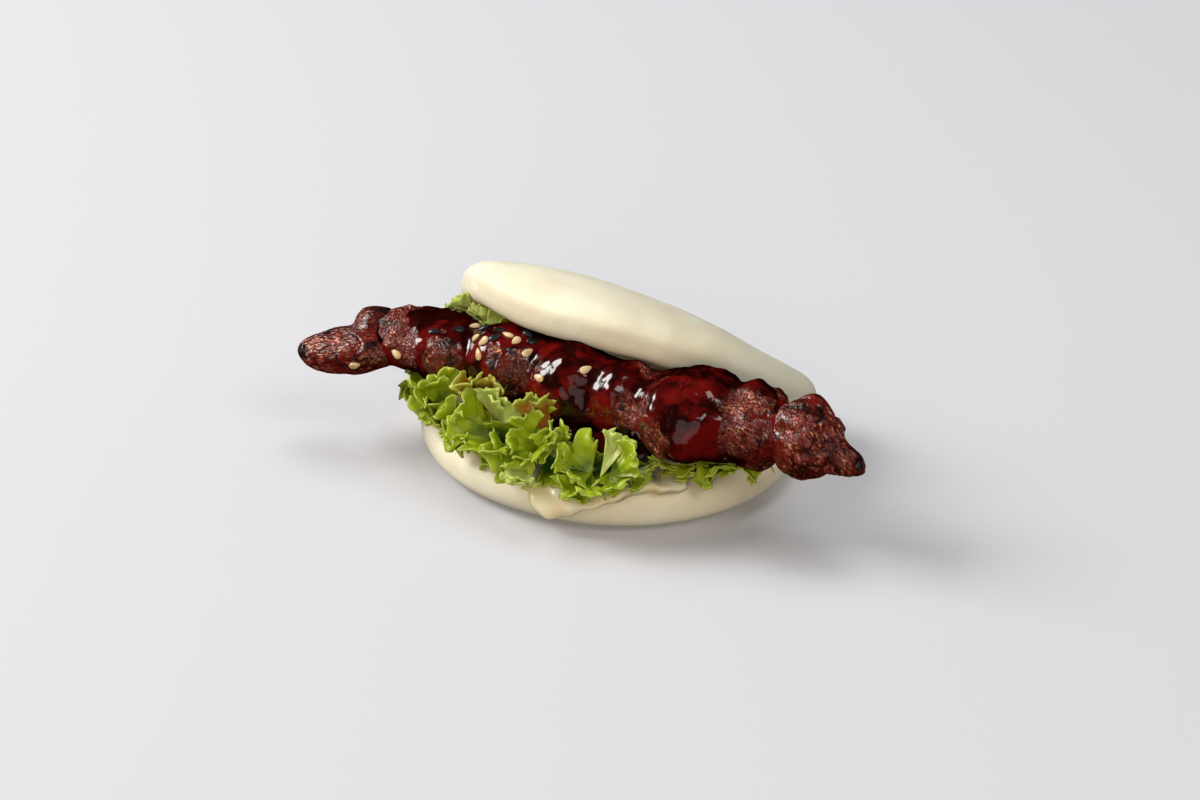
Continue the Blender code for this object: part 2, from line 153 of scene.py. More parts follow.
def paint(mesh: bpy.types.Mesh, name: str, values: np.ndarray) -> None:
    """Store one number for each vertex, for the finish to read."""
    mesh.attributes.new(name, "FLOAT", "POINT").data.foreach_set("value", values.astype(np.float32))


def along_fibres(places: np.ndarray, fibre: Place) -> np.ndarray:
    """Shorten places along the fibres of the meat, which stretches what is drawn there."""
    along = np.array(fibre)
    return places - (places @ along)[:, None] * along * FIBRE_STRETCH


def paint_grain(mesh: bpy.types.Mesh, places: np.ndarray, fibre: Place) -> None:
    """Store each vertex's place with the fibres' way shortened, so that the texture runs with them."""
    layer = mesh.attributes.new("grain", "FLOAT_VECTOR", "POINT")
    layer.data.foreach_set("vector", along_fibres(places, fibre).astype(np.float32).ravel())


def add_piece(name: str, mesh: bpy.types.Mesh, finish: bpy.types.Material) -> bpy.types.Object:
    """Put a smooth mesh in the scene with its finish.

    Args:
        name: the piece's name.
        mesh: its shape, in the part's own frame.
        finish: its material.

    Returns:
        The object.
    """
    mesh.shade_smooth()
    mesh.materials.append(finish)
    piece = bpy.data.objects.new(name, mesh)
    bpy.context.scene.collection.objects.link(piece)
    return piece


def settle(piece: bpy.types.Object, slot: str, *nodes: str) -> None:
    """Make a piece ride on the bun's body, in place of these solids."""
    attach(piece, "root")
    if nodes:
        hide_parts(*nodes)
    log.info("%s: %d faces", piece.name, len(piece.data.polygons))


def lattice_noise(points: np.ndarray, size: float, seed: int) -> np.ndarray:
    """Work out smooth uneven values from -1 to 1.

    Args:
        points: rows of x, y, z.
        size: about how wide a hill is, in metres.
        seed: which pattern.

    Returns:
        One value for each point.
    """
    scaled = points / size
    cell = np.floor(scaled).astype(np.int64)
    part = scaled - cell
    part = part * part * part * (part * (part * 6 - 15) + 10)
    total = np.zeros(len(points))
    for corner in range(8):
        offset = np.array([corner & 1, corner >> 1 & 1, corner >> 2 & 1])
        key = (cell + offset) @ np.array([73856093, 19349663, 83492791]) + seed * 2654435761
        key = (key ^ (key >> 13)) * 1274126177 & 0xFFFFFFFF
        value = (key ^ (key >> 16)) % 65536 / 32767.5 - 1
        total += value * np.prod(np.where(offset, part, 1 - part), axis=1)
    return total


def layered_noise(points: np.ndarray, size: float, seed: int, layers: int) -> np.ndarray:
    """Add up several sizes of noise, each half as wide and half as high as the last."""
    return sum(lattice_noise(points, size / 2**i, seed + 7 * i) / 2**i for i in range(layers))


def smooth(part: np.ndarray) -> np.ndarray:
    """Ease a share from 0 to 1 at both its ends."""
    return part * part * (3 - 2 * part)


def ease(value: np.ndarray, low: float, high: float) -> np.ndarray:
    """Go smoothly from 0 at low to 1 at high."""
    return smooth(np.clip((value - low) / (high - low), 0, 1))


def way_out(
    starts: np.ndarray,
    ways: np.ndarray,
    field: Callable[[np.ndarray], np.ndarray],
    reach: float = 26 * MM,
    steps: int = 15,
) -> np.ndarray:
    """Go out from each start until the field turns positive.

    Args:
        starts: where each ray starts.
        ways: its direction.
        field: the signed distance to look in.
        reach: how far to look.
        steps: how often to halve that.

    Returns:
        How far along each ray leaves the shape.
    """
    low = np.zeros(len(ways))
    high = np.full(len(ways), reach)
    for _ in range(steps):
        middle = (low + high) / 2
        inside = field(starts + ways * middle[:, None]) < 0
        low, high = np.where(inside, middle, low), np.where(inside, high, middle)
    return low


# ---------------------------------------------------------------- finishes


class Recipe:
    """The node tree of one material, with short calls for the nodes that the finishes need."""

    def __init__(self, name: str) -> None:
        """Start a material with one Principled shader."""
        self.material = bpy.data.materials.new(name)
        self.material.use_nodes = True
        self.tree = self.material.node_tree
        self.shader = self.tree.nodes["Principled BSDF"]

    def set(self, **values: float | Colour) -> None:
        """Set plain values on the shader, by socket name with _ for a space."""
        for key, value in values.items():
            socket = self.shader.inputs[key.replace("_", " ")]
            socket.default_value = (*value, 1.0) if socket.type == "RGBA" else value

    def feed(self, socket: str, source: bpy.types.NodeSocket) -> None:
        """Link a value to one of the shader's sockets."""
        self.tree.links.new(source, self.shader.inputs[socket])

    def put(self, node: bpy.types.Node, index: int | str, value: object) -> None:
        """Give a node's input a link or a plain value."""
        if isinstance(value, bpy.types.NodeSocket):
            self.tree.links.new(value, node.inputs[index])
        else:
            node.inputs[index].default_value = value

    def place(self) -> bpy.types.NodeSocket:
        """Read the point's place on the object, in metres."""
        return self.tree.nodes.new("ShaderNodeTexCoord").outputs["Object"]

    def painted(self, name: str, output: str = "Fac") -> bpy.types.NodeSocket:
        """Read a number stored on the mesh, or a place if the output is Vector."""
        node = self.tree.nodes.new("ShaderNodeAttribute")
        node.attribute_name = name
        return node.outputs[output]

    def noise(
        self, size: float, detail: float = 4.0, rough: float = 0.55, at: object = None
    ) -> bpy.types.NodeSocket:
        """Make soft noise with features about this wide, in metres, at another place if one is given."""
        node = self.tree.nodes.new("ShaderNodeTexNoise")
        self.put(node, "Vector", at or self.place())
        self.put(node, "Scale", 1 / size)
        self.put(node, "Detail", detail)
        self.put(node, "Roughness", rough)
        return node.outputs["Fac"]

    def grains(self, size: float, at: object = None) -> bpy.types.NodeSocket:
        """Make round grains of about this size, as the distance from each one's middle."""
        node = self.tree.nodes.new("ShaderNodeTexVoronoi")
        self.put(node, "Vector", at or self.place())
        self.put(node, "Scale", 1 / size)
        return node.outputs["Distance"]

    def maths(self, kind: str, first: object, second: object = 0.5) -> bpy.types.NodeSocket:
        """Combine two numbers, kept between 0 and 1 where the kind ends in a plus sign."""
        node = self.tree.nodes.new("ShaderNodeMath")
        node.operation = kind.rstrip("+")
        node.use_clamp = kind.endswith("+")
        self.put(node, 0, first)
        self.put(node, 1, second)
        return node.outputs[0]

    def span(
        self, value: object, low: float, high: float, to_low: float = 0.0, to_high: float = 1.0
    ) -> bpy.types.NodeSocket:
        """Stretch the values from low to high over another range, eased at both ends."""
        node = self.tree.nodes.new("ShaderNodeMapRange")
        node.interpolation_type = "SMOOTHSTEP"
        for index, each in enumerate((value, low, high, to_low, to_high)):
            self.put(node, index, each)
        return node.outputs["Result"]

    def mix(self, share: object, first: object, second: object) -> bpy.types.NodeSocket:
        """Mix two colours."""
        node = self.tree.nodes.new("ShaderNodeMix")
        node.data_type = "RGBA"
        self.put(node, 0, share)
        for index, colour in ((6, first), (7, second)):
            self.put(node, index, (*colour, 1.0) if isinstance(colour, tuple) else colour)
        return node.outputs[2]

    def bump(
        self, height: object, depth: float, strength: float = 1.0, over: object = None
    ) -> bpy.types.NodeSocket:
        """Make fine relief of this depth, in metres, over another relief if one is given."""
        node = self.tree.nodes.new("ShaderNodeBump")
        self.put(node, "Height", height)
        self.put(node, "Distance", depth)
        self.put(node, "Strength", strength)
        if over is not None:
            self.put(node, "Normal", over)
        return node.outputs["Normal"]


@dataclass(frozen=True)
class SteamedDough:
    """Soft ivory dough: a satin skin with faint pores and cloudy patches."""

    lit: Colour = (0.95, 0.90, 0.70)
    cloudy: Colour = (0.90, 0.82, 0.60)
    pore_size: float = 0.9 * MM

    def material(self) -> bpy.types.Material:
        """Make the material."""
        recipe = Recipe("steamed_dough")
        cloud = recipe.span(recipe.noise(16 * MM, 3), 0.35, 0.7)
        recipe.feed("Base Color", recipe.mix(cloud, self.lit, self.cloudy))
        pores = recipe.noise(self.pore_size, 5, 0.6)
        soft = recipe.noise(5 * MM, 3)
        relief = recipe.bump(soft, 0.35 * MM, 0.5)
        recipe.feed("Normal", recipe.bump(pores, 0.12 * MM, 0.35, relief))
        recipe.feed("Roughness", recipe.span(pores, 0.3, 0.7, 0.46, 0.62))
        recipe.set(
            Subsurface_Weight=0.35,
            Subsurface_Radius=(1.0, 0.62, 0.3),
            Subsurface_Scale=3 * MM,
            Specular_IOR_Level=0.4,
        )
        return recipe.material


@dataclass(frozen=True)
class GlazedChicken:
    """Grilled meat and its sweet glaze.

    The glaze is clear deep red where it is thin and nearly black where it has pooled, with the same
    near-black painted as shade on the undersides and under the flap; the bare meat is granular and red-brown
    with orange-brown grains, whose bright specks also stand as painted glints, and black where it caught and
    as painted shade in its creases.
    """

    thin: Colour = (0.140, 0.0038, 0.0026)
    # Also the colour of the painted shade on the undersides and at the back under the flap.
    thick: Colour = (0.0180, 0.0013, 0.0010)
    crust: Colour = (0.115, 0.0060, 0.0040)
    meat: Colour = (0.330, 0.048, 0.030)
    speck_and_glint: Colour = (0.720, 0.310, 0.150)
    soot_and_crease_shade: Colour = (0.010, 0.006, 0.006)

    def material(self) -> bpy.types.Material:
        """Make the material."""
        recipe = Recipe("glazed_chicken")
        grain = recipe.painted("grain", "Vector")
        cloud = recipe.noise(5 * MM, 4, 0.55)
        fine = recipe.noise(1.3 * MM, 5, 0.65, grain)
        tiny = recipe.noise(0.75 * MM, 3, 0.6, grain)
        bumps = recipe.grains(0.7 * MM, grain)
        broad = recipe.noise(9 * MM, 2)
        small_pools = recipe.span(cloud, 0.38, 0.62, -0.25, 0.45)
        large_pools = recipe.span(broad, 0.40, 0.58, -0.25, 0.85)
        patches = recipe.maths("ADD", small_pools, large_pools)
        # Pooled glaze and painted shade together: the mesh's value plus random pools mixes the thin red
        # towards near-black.
        pool_and_shade = recipe.maths("ADD+", recipe.painted("pool_and_shade"), patches)
        bare = recipe.maths("MULTIPLY+", recipe.painted("bare"), recipe.span(fine, 0.25, 0.5, 0.4, 1.2))
        shown = recipe.span(cloud, 0.35, 0.6, 0.3, 1.0)
        mottle = recipe.maths("MULTIPLY+", recipe.span(fine, 0.47, 0.62), shown)
        # Bright orange specks: grains of the meat, and also painted glints standing for its sparkle.
        shown = recipe.span(cloud, 0.4, 0.6, 0.2, 1.0)
        specks_and_glints = recipe.maths("MULTIPLY+", recipe.span(tiny, 0.52, 0.64), shown)
        meat = recipe.mix(specks_and_glints, recipe.mix(mottle, self.crust, self.meat), self.speck_and_glint)
        colour = recipe.mix(bare, recipe.mix(pool_and_shade, self.thin, self.thick), meat)
        # Near-black where the meat charred, and as painted shade in its creases.
        char_and_crease_shade = recipe.maths("MULTIPLY+", recipe.painted("char_and_crease_shade"), recipe.span(fine, 0.25, 0.6, 0.6, 1.5))
        recipe.feed("Base Color", recipe.mix(char_and_crease_shade, colour, self.soot_and_crease_shade))
        wavy = recipe.bump(recipe.noise(3.6 * MM, 0.6), 1.0 * MM, 0.8)
        rough = recipe.maths("MULTIPLY", bare, recipe.maths("ADD", bumps, fine))
        relief = recipe.bump(rough, 0.38 * MM, 0.85, wavy)
        recipe.feed("Normal", relief)
        recipe.feed("Coat Normal", relief)
        recipe.feed("Roughness", recipe.span(bare, 0.0, 1.0, 0.20, 0.38))
        recipe.set(Specular_IOR_Level=0.25, Coat_Weight=1.0, Coat_Roughness=0.09, Coat_IOR=1.5)
        return recipe.material


@dataclass(frozen=True)
class CurlyLettuce:
    """Thin frilly lettuce: deep green inside, partly its own colour and partly painted shade in the hollows,
    bright yellow-green frills, pale edges, a few browned tips.
    """

    deep: Colour = (0.018, 0.075, 0.003)
    bright: Colour = (0.36, 0.47, 0.010)
    edge: Colour = (0.62, 0.70, 0.17)
    rib: Colour = (0.40, 0.54, 0.09)
    light: Colour = (0.64, 0.72, 0.24)
    browned: Colour = (0.38, 0.095, 0.008)

    def material(self) -> bpy.types.Material:
        """Make the material."""
        recipe = Recipe("curly_lettuce")
        cloud = recipe.noise(5 * MM, 3)
        reach = recipe.painted("reach")
        # Deep green towards the root and inside each lobe, bright towards the margin: partly the leaf's own
        # colour, partly painted shade in the hollows.
        frill = recipe.maths("ADD", reach, recipe.span(cloud, 0.3, 0.7, -0.22, 0.22))
        colour = recipe.mix(recipe.span(frill, 0.15, 0.92), self.deep, self.bright)
        colour = recipe.mix(recipe.maths("MULTIPLY+", recipe.painted("vein"), 0.6), colour, self.rib)
        colour = recipe.mix(recipe.painted("pale"), colour, self.light)
        colour = recipe.mix(recipe.painted("brown"), colour, self.browned)
        colour = recipe.mix(recipe.span(reach, 0.93, 1.0, 0.0, 0.4), colour, self.edge)
        recipe.feed("Base Color", colour)
        quilt = recipe.bump(recipe.noise(1.6 * MM, 3), 0.45 * MM, 0.5)
        recipe.feed("Normal", recipe.bump(recipe.noise(0.5 * MM, 3), 0.1 * MM, 0.3, quilt))
        recipe.set(
            Roughness=0.34,
            Specular_IOR_Level=0.5,
            Subsurface_Weight=0.3,
            Subsurface_Radius=(0.6, 1.0, 0.15),
            Subsurface_Scale=1.0 * MM,
        )
        return recipe.material


@dataclass(frozen=True)
class Mayonnaise:
    """Thick glossy cream."""

    cream: Colour = (0.98, 0.80, 0.46)
    thin: Colour = (0.98, 0.88, 0.62)

    def material(self) -> bpy.types.Material:
        """Make the material."""
        recipe = Recipe("mayonnaise")
        cloud = recipe.span(recipe.noise(7 * MM, 2), 0.35, 0.65)
        recipe.feed("Base Color", recipe.mix(cloud, self.cream, self.thin))
        recipe.feed("Normal", recipe.bump(recipe.noise(2.2 * MM, 3), 0.3 * MM, 0.35))
        recipe.set(
            Roughness=0.22,
            Coat_Weight=0.3,
            Coat_Roughness=0.1,
            Subsurface_Weight=0.35,
            Subsurface_Radius=(1.0, 0.7, 0.35),
            Subsurface_Scale=2 * MM,
        )
        return recipe.material


class SeedKind(Enum):
    """The two sesame seeds."""

    WHITE = "white"
    BLACK = "black"


@dataclass(frozen=True)
class SesameCoat:
    """The skin of a sesame seed, smooth with a faint grain."""

    kind: SeedKind

    def material(self) -> bpy.types.Material:
        """Make the material."""
        pale, dark = ((0.80, 0.60, 0.34), (0.60, 0.38, 0.16))
        if self.kind is SeedKind.BLACK:
            pale, dark = ((0.022, 0.024, 0.030), (0.008, 0.008, 0.010))
        recipe = Recipe(self.kind.value + "_sesame")
        cloud = recipe.span(recipe.noise(1.6 * MM, 3), 0.4, 0.7)
        recipe.feed("Base Color", recipe.mix(cloud, pale, dark))
        recipe.feed("Normal", recipe.bump(recipe.noise(0.4 * MM, 2), 0.05 * MM, 0.5))
        recipe.set(Roughness=0.3, Specular_IOR_Level=0.5, Coat_Weight=0.3, Coat_Roughness=0.1)
        return recipe.material


# ---------------------------------------------------------------- the bun


@dataclass
class Bun:
    """An oval of dough folded over once, with its soft skin."""

    half_length: float = 54.5 * MM
    half_width: float = 65.0 * MM
    thickness: float = 12.0 * MM
    oval_power: float = 2.2
    edge_reach: float = 8.0 * MM
    front: float = -38.5 * MM
    flat_length: float = 58.0 * MM
    fold_radius: float = 10.3 * MM
    fold_turn: float = math.radians(122)
    flap_turn: float = math.radians(58)
    end_droop: float = 8.0 * MM
    slant: float = 0.15
    waist: float = 0.12
    waist_reach: float = 26.0 * MM
    lip_sag: float = 2.4 * MM
    lip_sag_at: float = -17.0 * MM
    lip_sag_reach: float = 20.0 * MM
    lip_depth: float = 22.0 * MM
    path_steps: int = 1200
    cells: int = 132
    swelling: float = 0.35 * MM
    swelling_size: float = 17.0 * MM
    welding: float = 0.005 * MM

    def __post_init__(self) -> None:
        """Work out the middle of the dough in the YZ plane."""
        length = 2 * self.half_width
        self.path_t = np.linspace(0.0, length, self.path_steps + 1)
        fold_length = self.fold_radius * self.fold_turn
        into_fold = np.clip((self.path_t - self.flat_length) / fold_length, 0, 1)
        rest = length - self.flat_length - fold_length
        over = np.clip((self.path_t - self.flat_length - fold_length) / rest, 0, 1)
        self.path_turn = self.fold_turn * (0.5 * smooth(into_fold) + 0.5 * into_fold) + self.flap_turn * over
        step = length / self.path_steps
        across = np.cumsum(np.cos(self.path_turn[:-1]) * step)
        up = np.cumsum(np.sin(self.path_turn[:-1]) * step)
        self.path_y = self.front + np.concatenate([[0], across])
        self.path_z = self.thickness / 2 + np.concatenate([[0], up])

    def fold(self, x: np.ndarray, across: np.ndarray, height: np.ndarray) -> np.ndarray:
        """Bend points of the flat oval into the folded bun.

        Args:
            x: along the fold.
            across: from the middle of the oval, across the fold.
            height: from the middle of the dough.

        Returns:
            Rows of x, y, z.
        """
        t = across + self.half_width
        middle = self.flat_length + 0.5 * self.fold_radius * self.fold_turn
        x = x * (1 - self.waist * np.exp(-(((t - middle) / self.waist_reach) ** 2)))
        turn = np.interp(t, self.path_t, self.path_turn)
        beyond = np.maximum(t - 2 * self.half_width, 0)
        y = np.interp(t, self.path_t, self.path_y) + np.minimum(t, 0)
        y = y + beyond * np.cos(turn) - height * np.sin(turn)
        z = np.interp(t, self.path_t, self.path_z) + beyond * np.sin(turn) + height * np.cos(turn)
        upper = smooth(np.clip((t - self.flat_length) / (0.7 * self.half_width), 0, 1))
        z = z - upper * (self.end_droop * (x / (0.8 * self.half_length)) ** 2 + self.slant * x)
        lip = smooth(np.clip((t - 2 * self.half_width) / self.lip_depth + 1, 0, 1))
        sag = np.exp(-(((x - self.lip_sag_at) / self.lip_sag_reach) ** 2))
        return np.stack([x, y, z - self.lip_sag * lip * sag], axis=-1)

    def skin(self, angle: np.ndarray, along: np.ndarray, swell: np.ndarray | float = 0.0) -> np.ndarray:
        """Find points on the dough's skin.

        Args:
            angle: round the oval.
            along: 1 in the middle of the inside, 0 at the rim, -1 in the middle of the outside.
            swell: how far to stand off the skin.

        Returns:
            Rows of x, y, z.
        """
        c = np.abs(np.cos(angle)) / self.half_length
        s = np.abs(np.sin(angle)) / self.half_width
        rim = (c**self.oval_power + s**self.oval_power) ** (-1 / self.oval_power)
        inward = np.abs(along)
        reach = self.edge_reach / rim
        turn = np.clip(inward / reach, 0, 1) * math.pi / 2
        flat = np.clip((inward - reach) / (1 - reach), 0, 1)
        radius = rim - self.edge_reach + (self.edge_reach + swell) * np.cos(turn)
        radius = radius - flat * (rim - self.edge_reach)
        square = np.where((along < 0) & (np.sin(angle) > 0), 0.8 - 0.25 * np.sin(angle), 0.8)
        height = np.where(along < 0, -1, 1) * (self.thickness / 2 + swell) * np.sin(turn) ** square
        return self.fold(radius * np.cos(angle), radius * np.sin(angle), height)

    def mesh(self) -> bpy.types.Mesh:
        """Build the dough, softly uneven above and flat where it rests."""
        mesh = block_mesh("dough", (self.cells, self.cells, 1))
        flat = places_of(mesh)
        ring = np.maximum(np.abs(flat[:, 0]), np.abs(flat[:, 1]))
        even = np.tan(flat[:, :2] * math.pi / 4 / np.maximum(ring, 1e-9)[:, None])
        angle = np.arctan2(even[:, 1], even[:, 0])
        spaced = 0.4 * ring + 0.6 * ring * ring * (3 - 2 * ring)
        inward = np.clip(1 - spaced, 0, 1)
        side = np.sign(flat[:, 2])
        move_to(mesh, self.skin(angle, np.where(side < 0, -np.maximum(inward, 1e-6), inward)))
        weld(mesh, self.welding)
        places = places_of(mesh)
        uneven = layered_noise(places, self.swelling_size, Pattern.DOUGH, 3) * self.swelling
        uneven *= ease(places[:, 2], 1 * MM, 7 * MM)
        move_to(mesh, places + normals_of(mesh) * uneven[:, None])
        return mesh

    def build(self) -> bpy.types.Object:
        """Build and dress the bun."""
        piece = add_piece("folded_dough", self.mesh(), SteamedDough().material())
        piece.visible_glossy = False
        settle(piece, "steamed_dough", "bun")
        return piece


# ---------------------------------------------------------------- the mayonnaise


@dataclass
class MayonnaiseSpread:
    """The cream on the lower flap, hanging over its front edge."""

    bun: Bun
    thickness: float = 3.6 * MM
    angles: tuple[float, float] = (math.radians(-91), math.radians(-55.5))
    reach: tuple[float, float] = (0.40, -0.011)
    cells: tuple[int, int, int] = (150, 80, 1)
    gap: float = 0.15 * MM

    def build(self) -> bpy.types.Object:
        """Build and dress the spread."""
        mesh = block_mesh("cream", self.cells)
        flat = places_of(mesh)
        u, v, side = flat.T
        out = 1 - ((1 + v) / 2) ** 1.7
        angle = self.angles[0] + (self.angles[1] - self.angles[0]) * (u + 1) / 2
        angle = angle + 0.02 * np.sin(4 * v) * (1 - u) / 2
        edge = 0.004 * np.sin(9 * u + 1) + 0.002 * np.sin(23 * u)
        edge -= 0.012 * ease(u, -1, -0.55) + 0.058 * ease(u, -0.55, 0.4)
        along = self.reach[0] + (self.reach[1] - self.reach[0] - edge) * out
        dome = ((1 - u**12) * (1 - np.abs(v) ** 14)) ** 0.45
        bead = 0.40 + 0.60 * ease(-v, 0.30, 0.80) + 0.16 * np.sin(11 * u + 3 * v) * np.cos(5 * v + 2 * u)
        thick = self.thickness * (0.02 + 0.98 * dome * bead)
        swell = self.gap + np.where(side > 0, thick, 0)
        move_to(mesh, self.bun.skin(angle, along, swell))
        piece = add_piece("cream_spread", mesh, Mayonnaise().material())
        settle(piece, "mayonnaise", "mayonnaise")
        return piece


# ---------------------------------------------------------------- the chicken


@dataclass(frozen=True)
class Lump:
    """One rounded lump of meat: its middle and half-sizes in mm, its yaw and pitch in degrees."""

    middle: Place
    radii: Place
    yaw: float = 0.0
    pitch: float = 0.0

    def distance(self, points: np.ndarray) -> np.ndarray:
        """Work out the signed distance, near enough, from points to the lump."""
        radii = np.array(self.radii) * MM
        turn = Matrix.Rotation(math.radians(self.yaw), 3, "Z")
        turn = turn @ Matrix.Rotation(math.radians(-self.pitch), 3, "Y")
        local = (points - np.array(self.middle) * MM) @ np.array(turn)
        near = np.linalg.norm(local / radii, axis=1)
        return near * (near - 1) / np.maximum(np.linalg.norm(local / radii**2, axis=1), 1e-9)


def flow_together(lumps: Sequence[Lump], points: np.ndarray, join: float) -> np.ndarray:
    """Work out the signed distance to lumps that join with fillets about this wide."""
    total = lumps[0].distance(points)
    for lump in lumps[1:]:
        other = lump.distance(points)
        near = np.clip(0.5 + 0.5 * (other - total) / join, 0, 1)
        total = other * (1 - near) + total * near - join * near * (1 - near)
    return total


class Crust(Enum):
    """How rough a piece of chicken is, as the height of its fibres in mm."""

    SLEEK = 0.07
    GRAINY = 0.17
    FLAKY = 0.24


@dataclass(frozen=True)
class Chunk:
    """One piece of chicken: the solid it stands for, its roughness, its lumps, and how its fibres run."""

    node: str
    crust: Crust
    lumps: tuple[Lump, ...]
    fibre: Place = NO_FIBRES


CHUNKS = (
    Chunk(
        "chicken_1",
        Crust.SLEEK,
        (
            Lump((-62.5, -17.5, 26.0), (15.0, 7.5, 6.0), 4, 13),
            Lump((-58.0, -11.5, 32.6), (6.0, 4.4, 3.5), 0, 8),
        ),
        (0.95, 0.0, 0.3),
    ),
    Chunk(
        "chicken_2",
        Crust.GRAINY,
        (Lump((-48.5, -11.0, 30.6), (7.0, 9.5, 7.8), -10), Lump((-46.5, -13.5, 28.8), (6.0, 8.0, 5.4))),
    ),
    Chunk(
        "chicken_3",
        Crust.GRAINY,
        (Lump((-37.0, -12.0, 28.8), (8.0, 10.5, 8.8), -10), Lump((-38.5, -4.0, 29.5), (7.0, 5.0, 5.0), 0, 8)),
    ),
    Chunk(
        "chicken_4",
        Crust.GRAINY,
        (Lump((-20.0, -13.0, 28.5), (11.5, 10.5, 10.5), -15, 6), Lump((-11.5, -9.5, 31.0), (8.0, 5.0, 5.2))),
    ),
    Chunk(
        "chicken_5",
        Crust.GRAINY,
        (
            Lump((-0.5, -15.5, 28.0), (12.0, 11.0, 10.7), 0, 4),
            Lump((15.0, -16.5, 28.0), (10.0, 9.5, 9.8), -8),
        ),
    ),
    Chunk(
        "chicken_6",
        Crust.GRAINY,
        (
            Lump((32.0, -20.5, 28.5), (12.0, 11.5, 11.0), 12),
            Lump((38.0, -16.5, 27.5), (12.0, 9.5, 9.0), 0, -4),
            Lump((33.0, -11.0, 32.0), (11.0, 5.4, 5.6), 0, -6),
        ),
    ),
    Chunk(
        "chicken_7",
        Crust.FLAKY,
        (Lump((49.0, -16.0, 27.5), (9.0, 10.0, 9.5), 10), Lump((50.5, -10.5, 32.0), (5.2, 4.8, 5.0), 0, 8)),
        (0.75, 0.0, -0.66),
    ),
    Chunk(
        "chicken_8",
        Crust.FLAKY,
        (
            Lump((62.5, -17.0, 27.8), (8.8, 9.0, 10.6), -8, 14),
            Lump((70.0, -18.5, 27.2), (11.0, 5.0, 4.7), -4, -20),
        ),
        (0.6, 0.0, -0.8),
    ),
)


@dataclass
class ChickenRow:
    """The row of grilled pieces, each cut halfway to its neighbours."""

    blend: float = 2.5 * MM
    bump: float = 1.3 * MM
    bump_size: float = 6.5 * MM
    sleek_bump: float = 0.45
    gap: float = 0.5 * MM
    cells: int = 56
    crusted: float = 0.3
    flake_size: float = 3.2 * MM
    fibre_size: float = 1.7 * MM
    fold_size: float = 5.5 * MM
    patch_size: float = 8 * MM
    charred_tips: tuple[float, float] = (69 * MM, 77 * MM)
    bare_tip: tuple[float, float] = (58 * MM, 66 * MM)

    def meat(self, points: np.ndarray, index: int) -> np.ndarray:
        """Work out the signed distance to one untrimmed piece."""
        chunk = CHUNKS[index]
        rough = lattice_noise(points, self.bump_size, index)
        rough += 0.5 * lattice_noise(points, self.bump_size / 2, index + Pattern.SMALL_BUMPS)
        total = flow_together(chunk.lumps, points, self.blend)
        return total - self.bump * rough * (self.sleek_bump if chunk.crust is Crust.SLEEK else 1.0)

    def trimmed(self, points: np.ndarray, index: int) -> np.ndarray:
        """Work out the signed distance to one piece, cut halfway to its neighbours."""
        own = self.meat(points, index)
        for other in (index - 1, index + 1):
            if 0 <= other < len(CHUNKS):
                own = np.maximum(own, (own - self.meat(points, other) + self.gap) / 2)
        return own

    def chunk(self, index: int, finish: bpy.types.Material) -> bpy.types.Object:
        """Build and dress one piece.

        Args:
            index: which one, from the left.
            finish: its material.

        Returns:
            The piece.
        """
        chunk = CHUNKS[index]
        mesh = block_mesh(chunk.node, (self.cells,) * 3)
        ways = np.tan(places_of(mesh) * math.pi / 4)
        ways /= np.linalg.norm(ways, axis=1)[:, None]
        middles = np.array([lump.middle for lump in chunk.lumps]) * MM
        start = middles[0] * 0.75 + middles[-1] * 0.25
        places = start + ways * way_out(start, ways, lambda p: self.trimmed(p, index))[:, None]
        move_to(mesh, places)
        normals = normals_of(mesh)
        flakes = layered_noise(places, self.flake_size, Pattern.FLAKES + index, 2)
        fibres = layered_noise(along_fibres(places, chunk.fibre), self.fibre_size, Pattern.FIBRES + index, 3)
        folds = layered_noise(places * np.array([1.0, 1.2, 0.8]), self.fold_size, Pattern.FOLDS + index, 2)
        folds = 1 - np.abs(folds) * 2.2
        bare = ease(lattice_noise(places, self.patch_size, Pattern.BARE + index), -0.45, 0.15)
        if chunk.crust is Crust.SLEEK:
            bare = bare * ease(-places[:, 0], *self.bare_tip)
        bare = self.crusted + (1 - self.crusted) * bare
        height = chunk.crust.value
        raised = 0.5 * height * flakes - height * (0.35 + 0.65 * bare) * np.abs(fibres)
        raised = raised - 1.5 * height * ease(folds, 0.5, 1.0)
        move_to(mesh, places + normals * (raised * MM)[:, None])
        high = ease(flakes + 0.9 * normals[:, 2], 0.75, 1.35)
        patch = ease(lattice_noise(places, self.patch_size, Pattern.CHAR + index), 0.0, 0.5)
        tips = ease(np.abs(places[:, 0]), *self.charred_tips) * ease(flakes, -0.4, 0.6)
        # Black on high ridges and the charred tips, which is char, and painted shade in the creases of the
        # folds.
        char_and_crease_shade = high * (0.35 + 0.85 * patch) + 0.9 * tips + 0.6 * ease(folds, 0.55, 1.0)
        # Painted shade: the low sides and the back under the flap are darkened towards the near-black of
        # pooled glaze, on top of a faint real pooling everywhere.
        under = ease(places[:, 2], 26 * MM, 20 * MM)
        behind = ease(places[:, 1], -14 * MM, -9 * MM)
        paint(mesh, "char_and_crease_shade", np.clip(char_and_crease_shade, 0, 1))
        paint(mesh, "bare", bare)
        paint(mesh, "pool_and_shade", np.clip(0.1 + 0.8 * under + behind, 0, 1))
        paint_grain(mesh, places, chunk.fibre)
        piece = add_piece(chunk.node.replace("chicken", "grilled_piece"), mesh, finish)
        settle(piece, "glazed_chicken", chunk.node)
        return piece

    def build(self, finish: bpy.types.Material) -> list[bpy.types.Object]:
        """Build and dress the row."""
        return [self.chunk(index, finish) for index in range(len(CHUNKS))]


@dataclass(frozen=True)
class BarePatch:
    """A granular patch that the glaze leaves open: its middle and radius in mm."""

    middle: Place
    radius: float


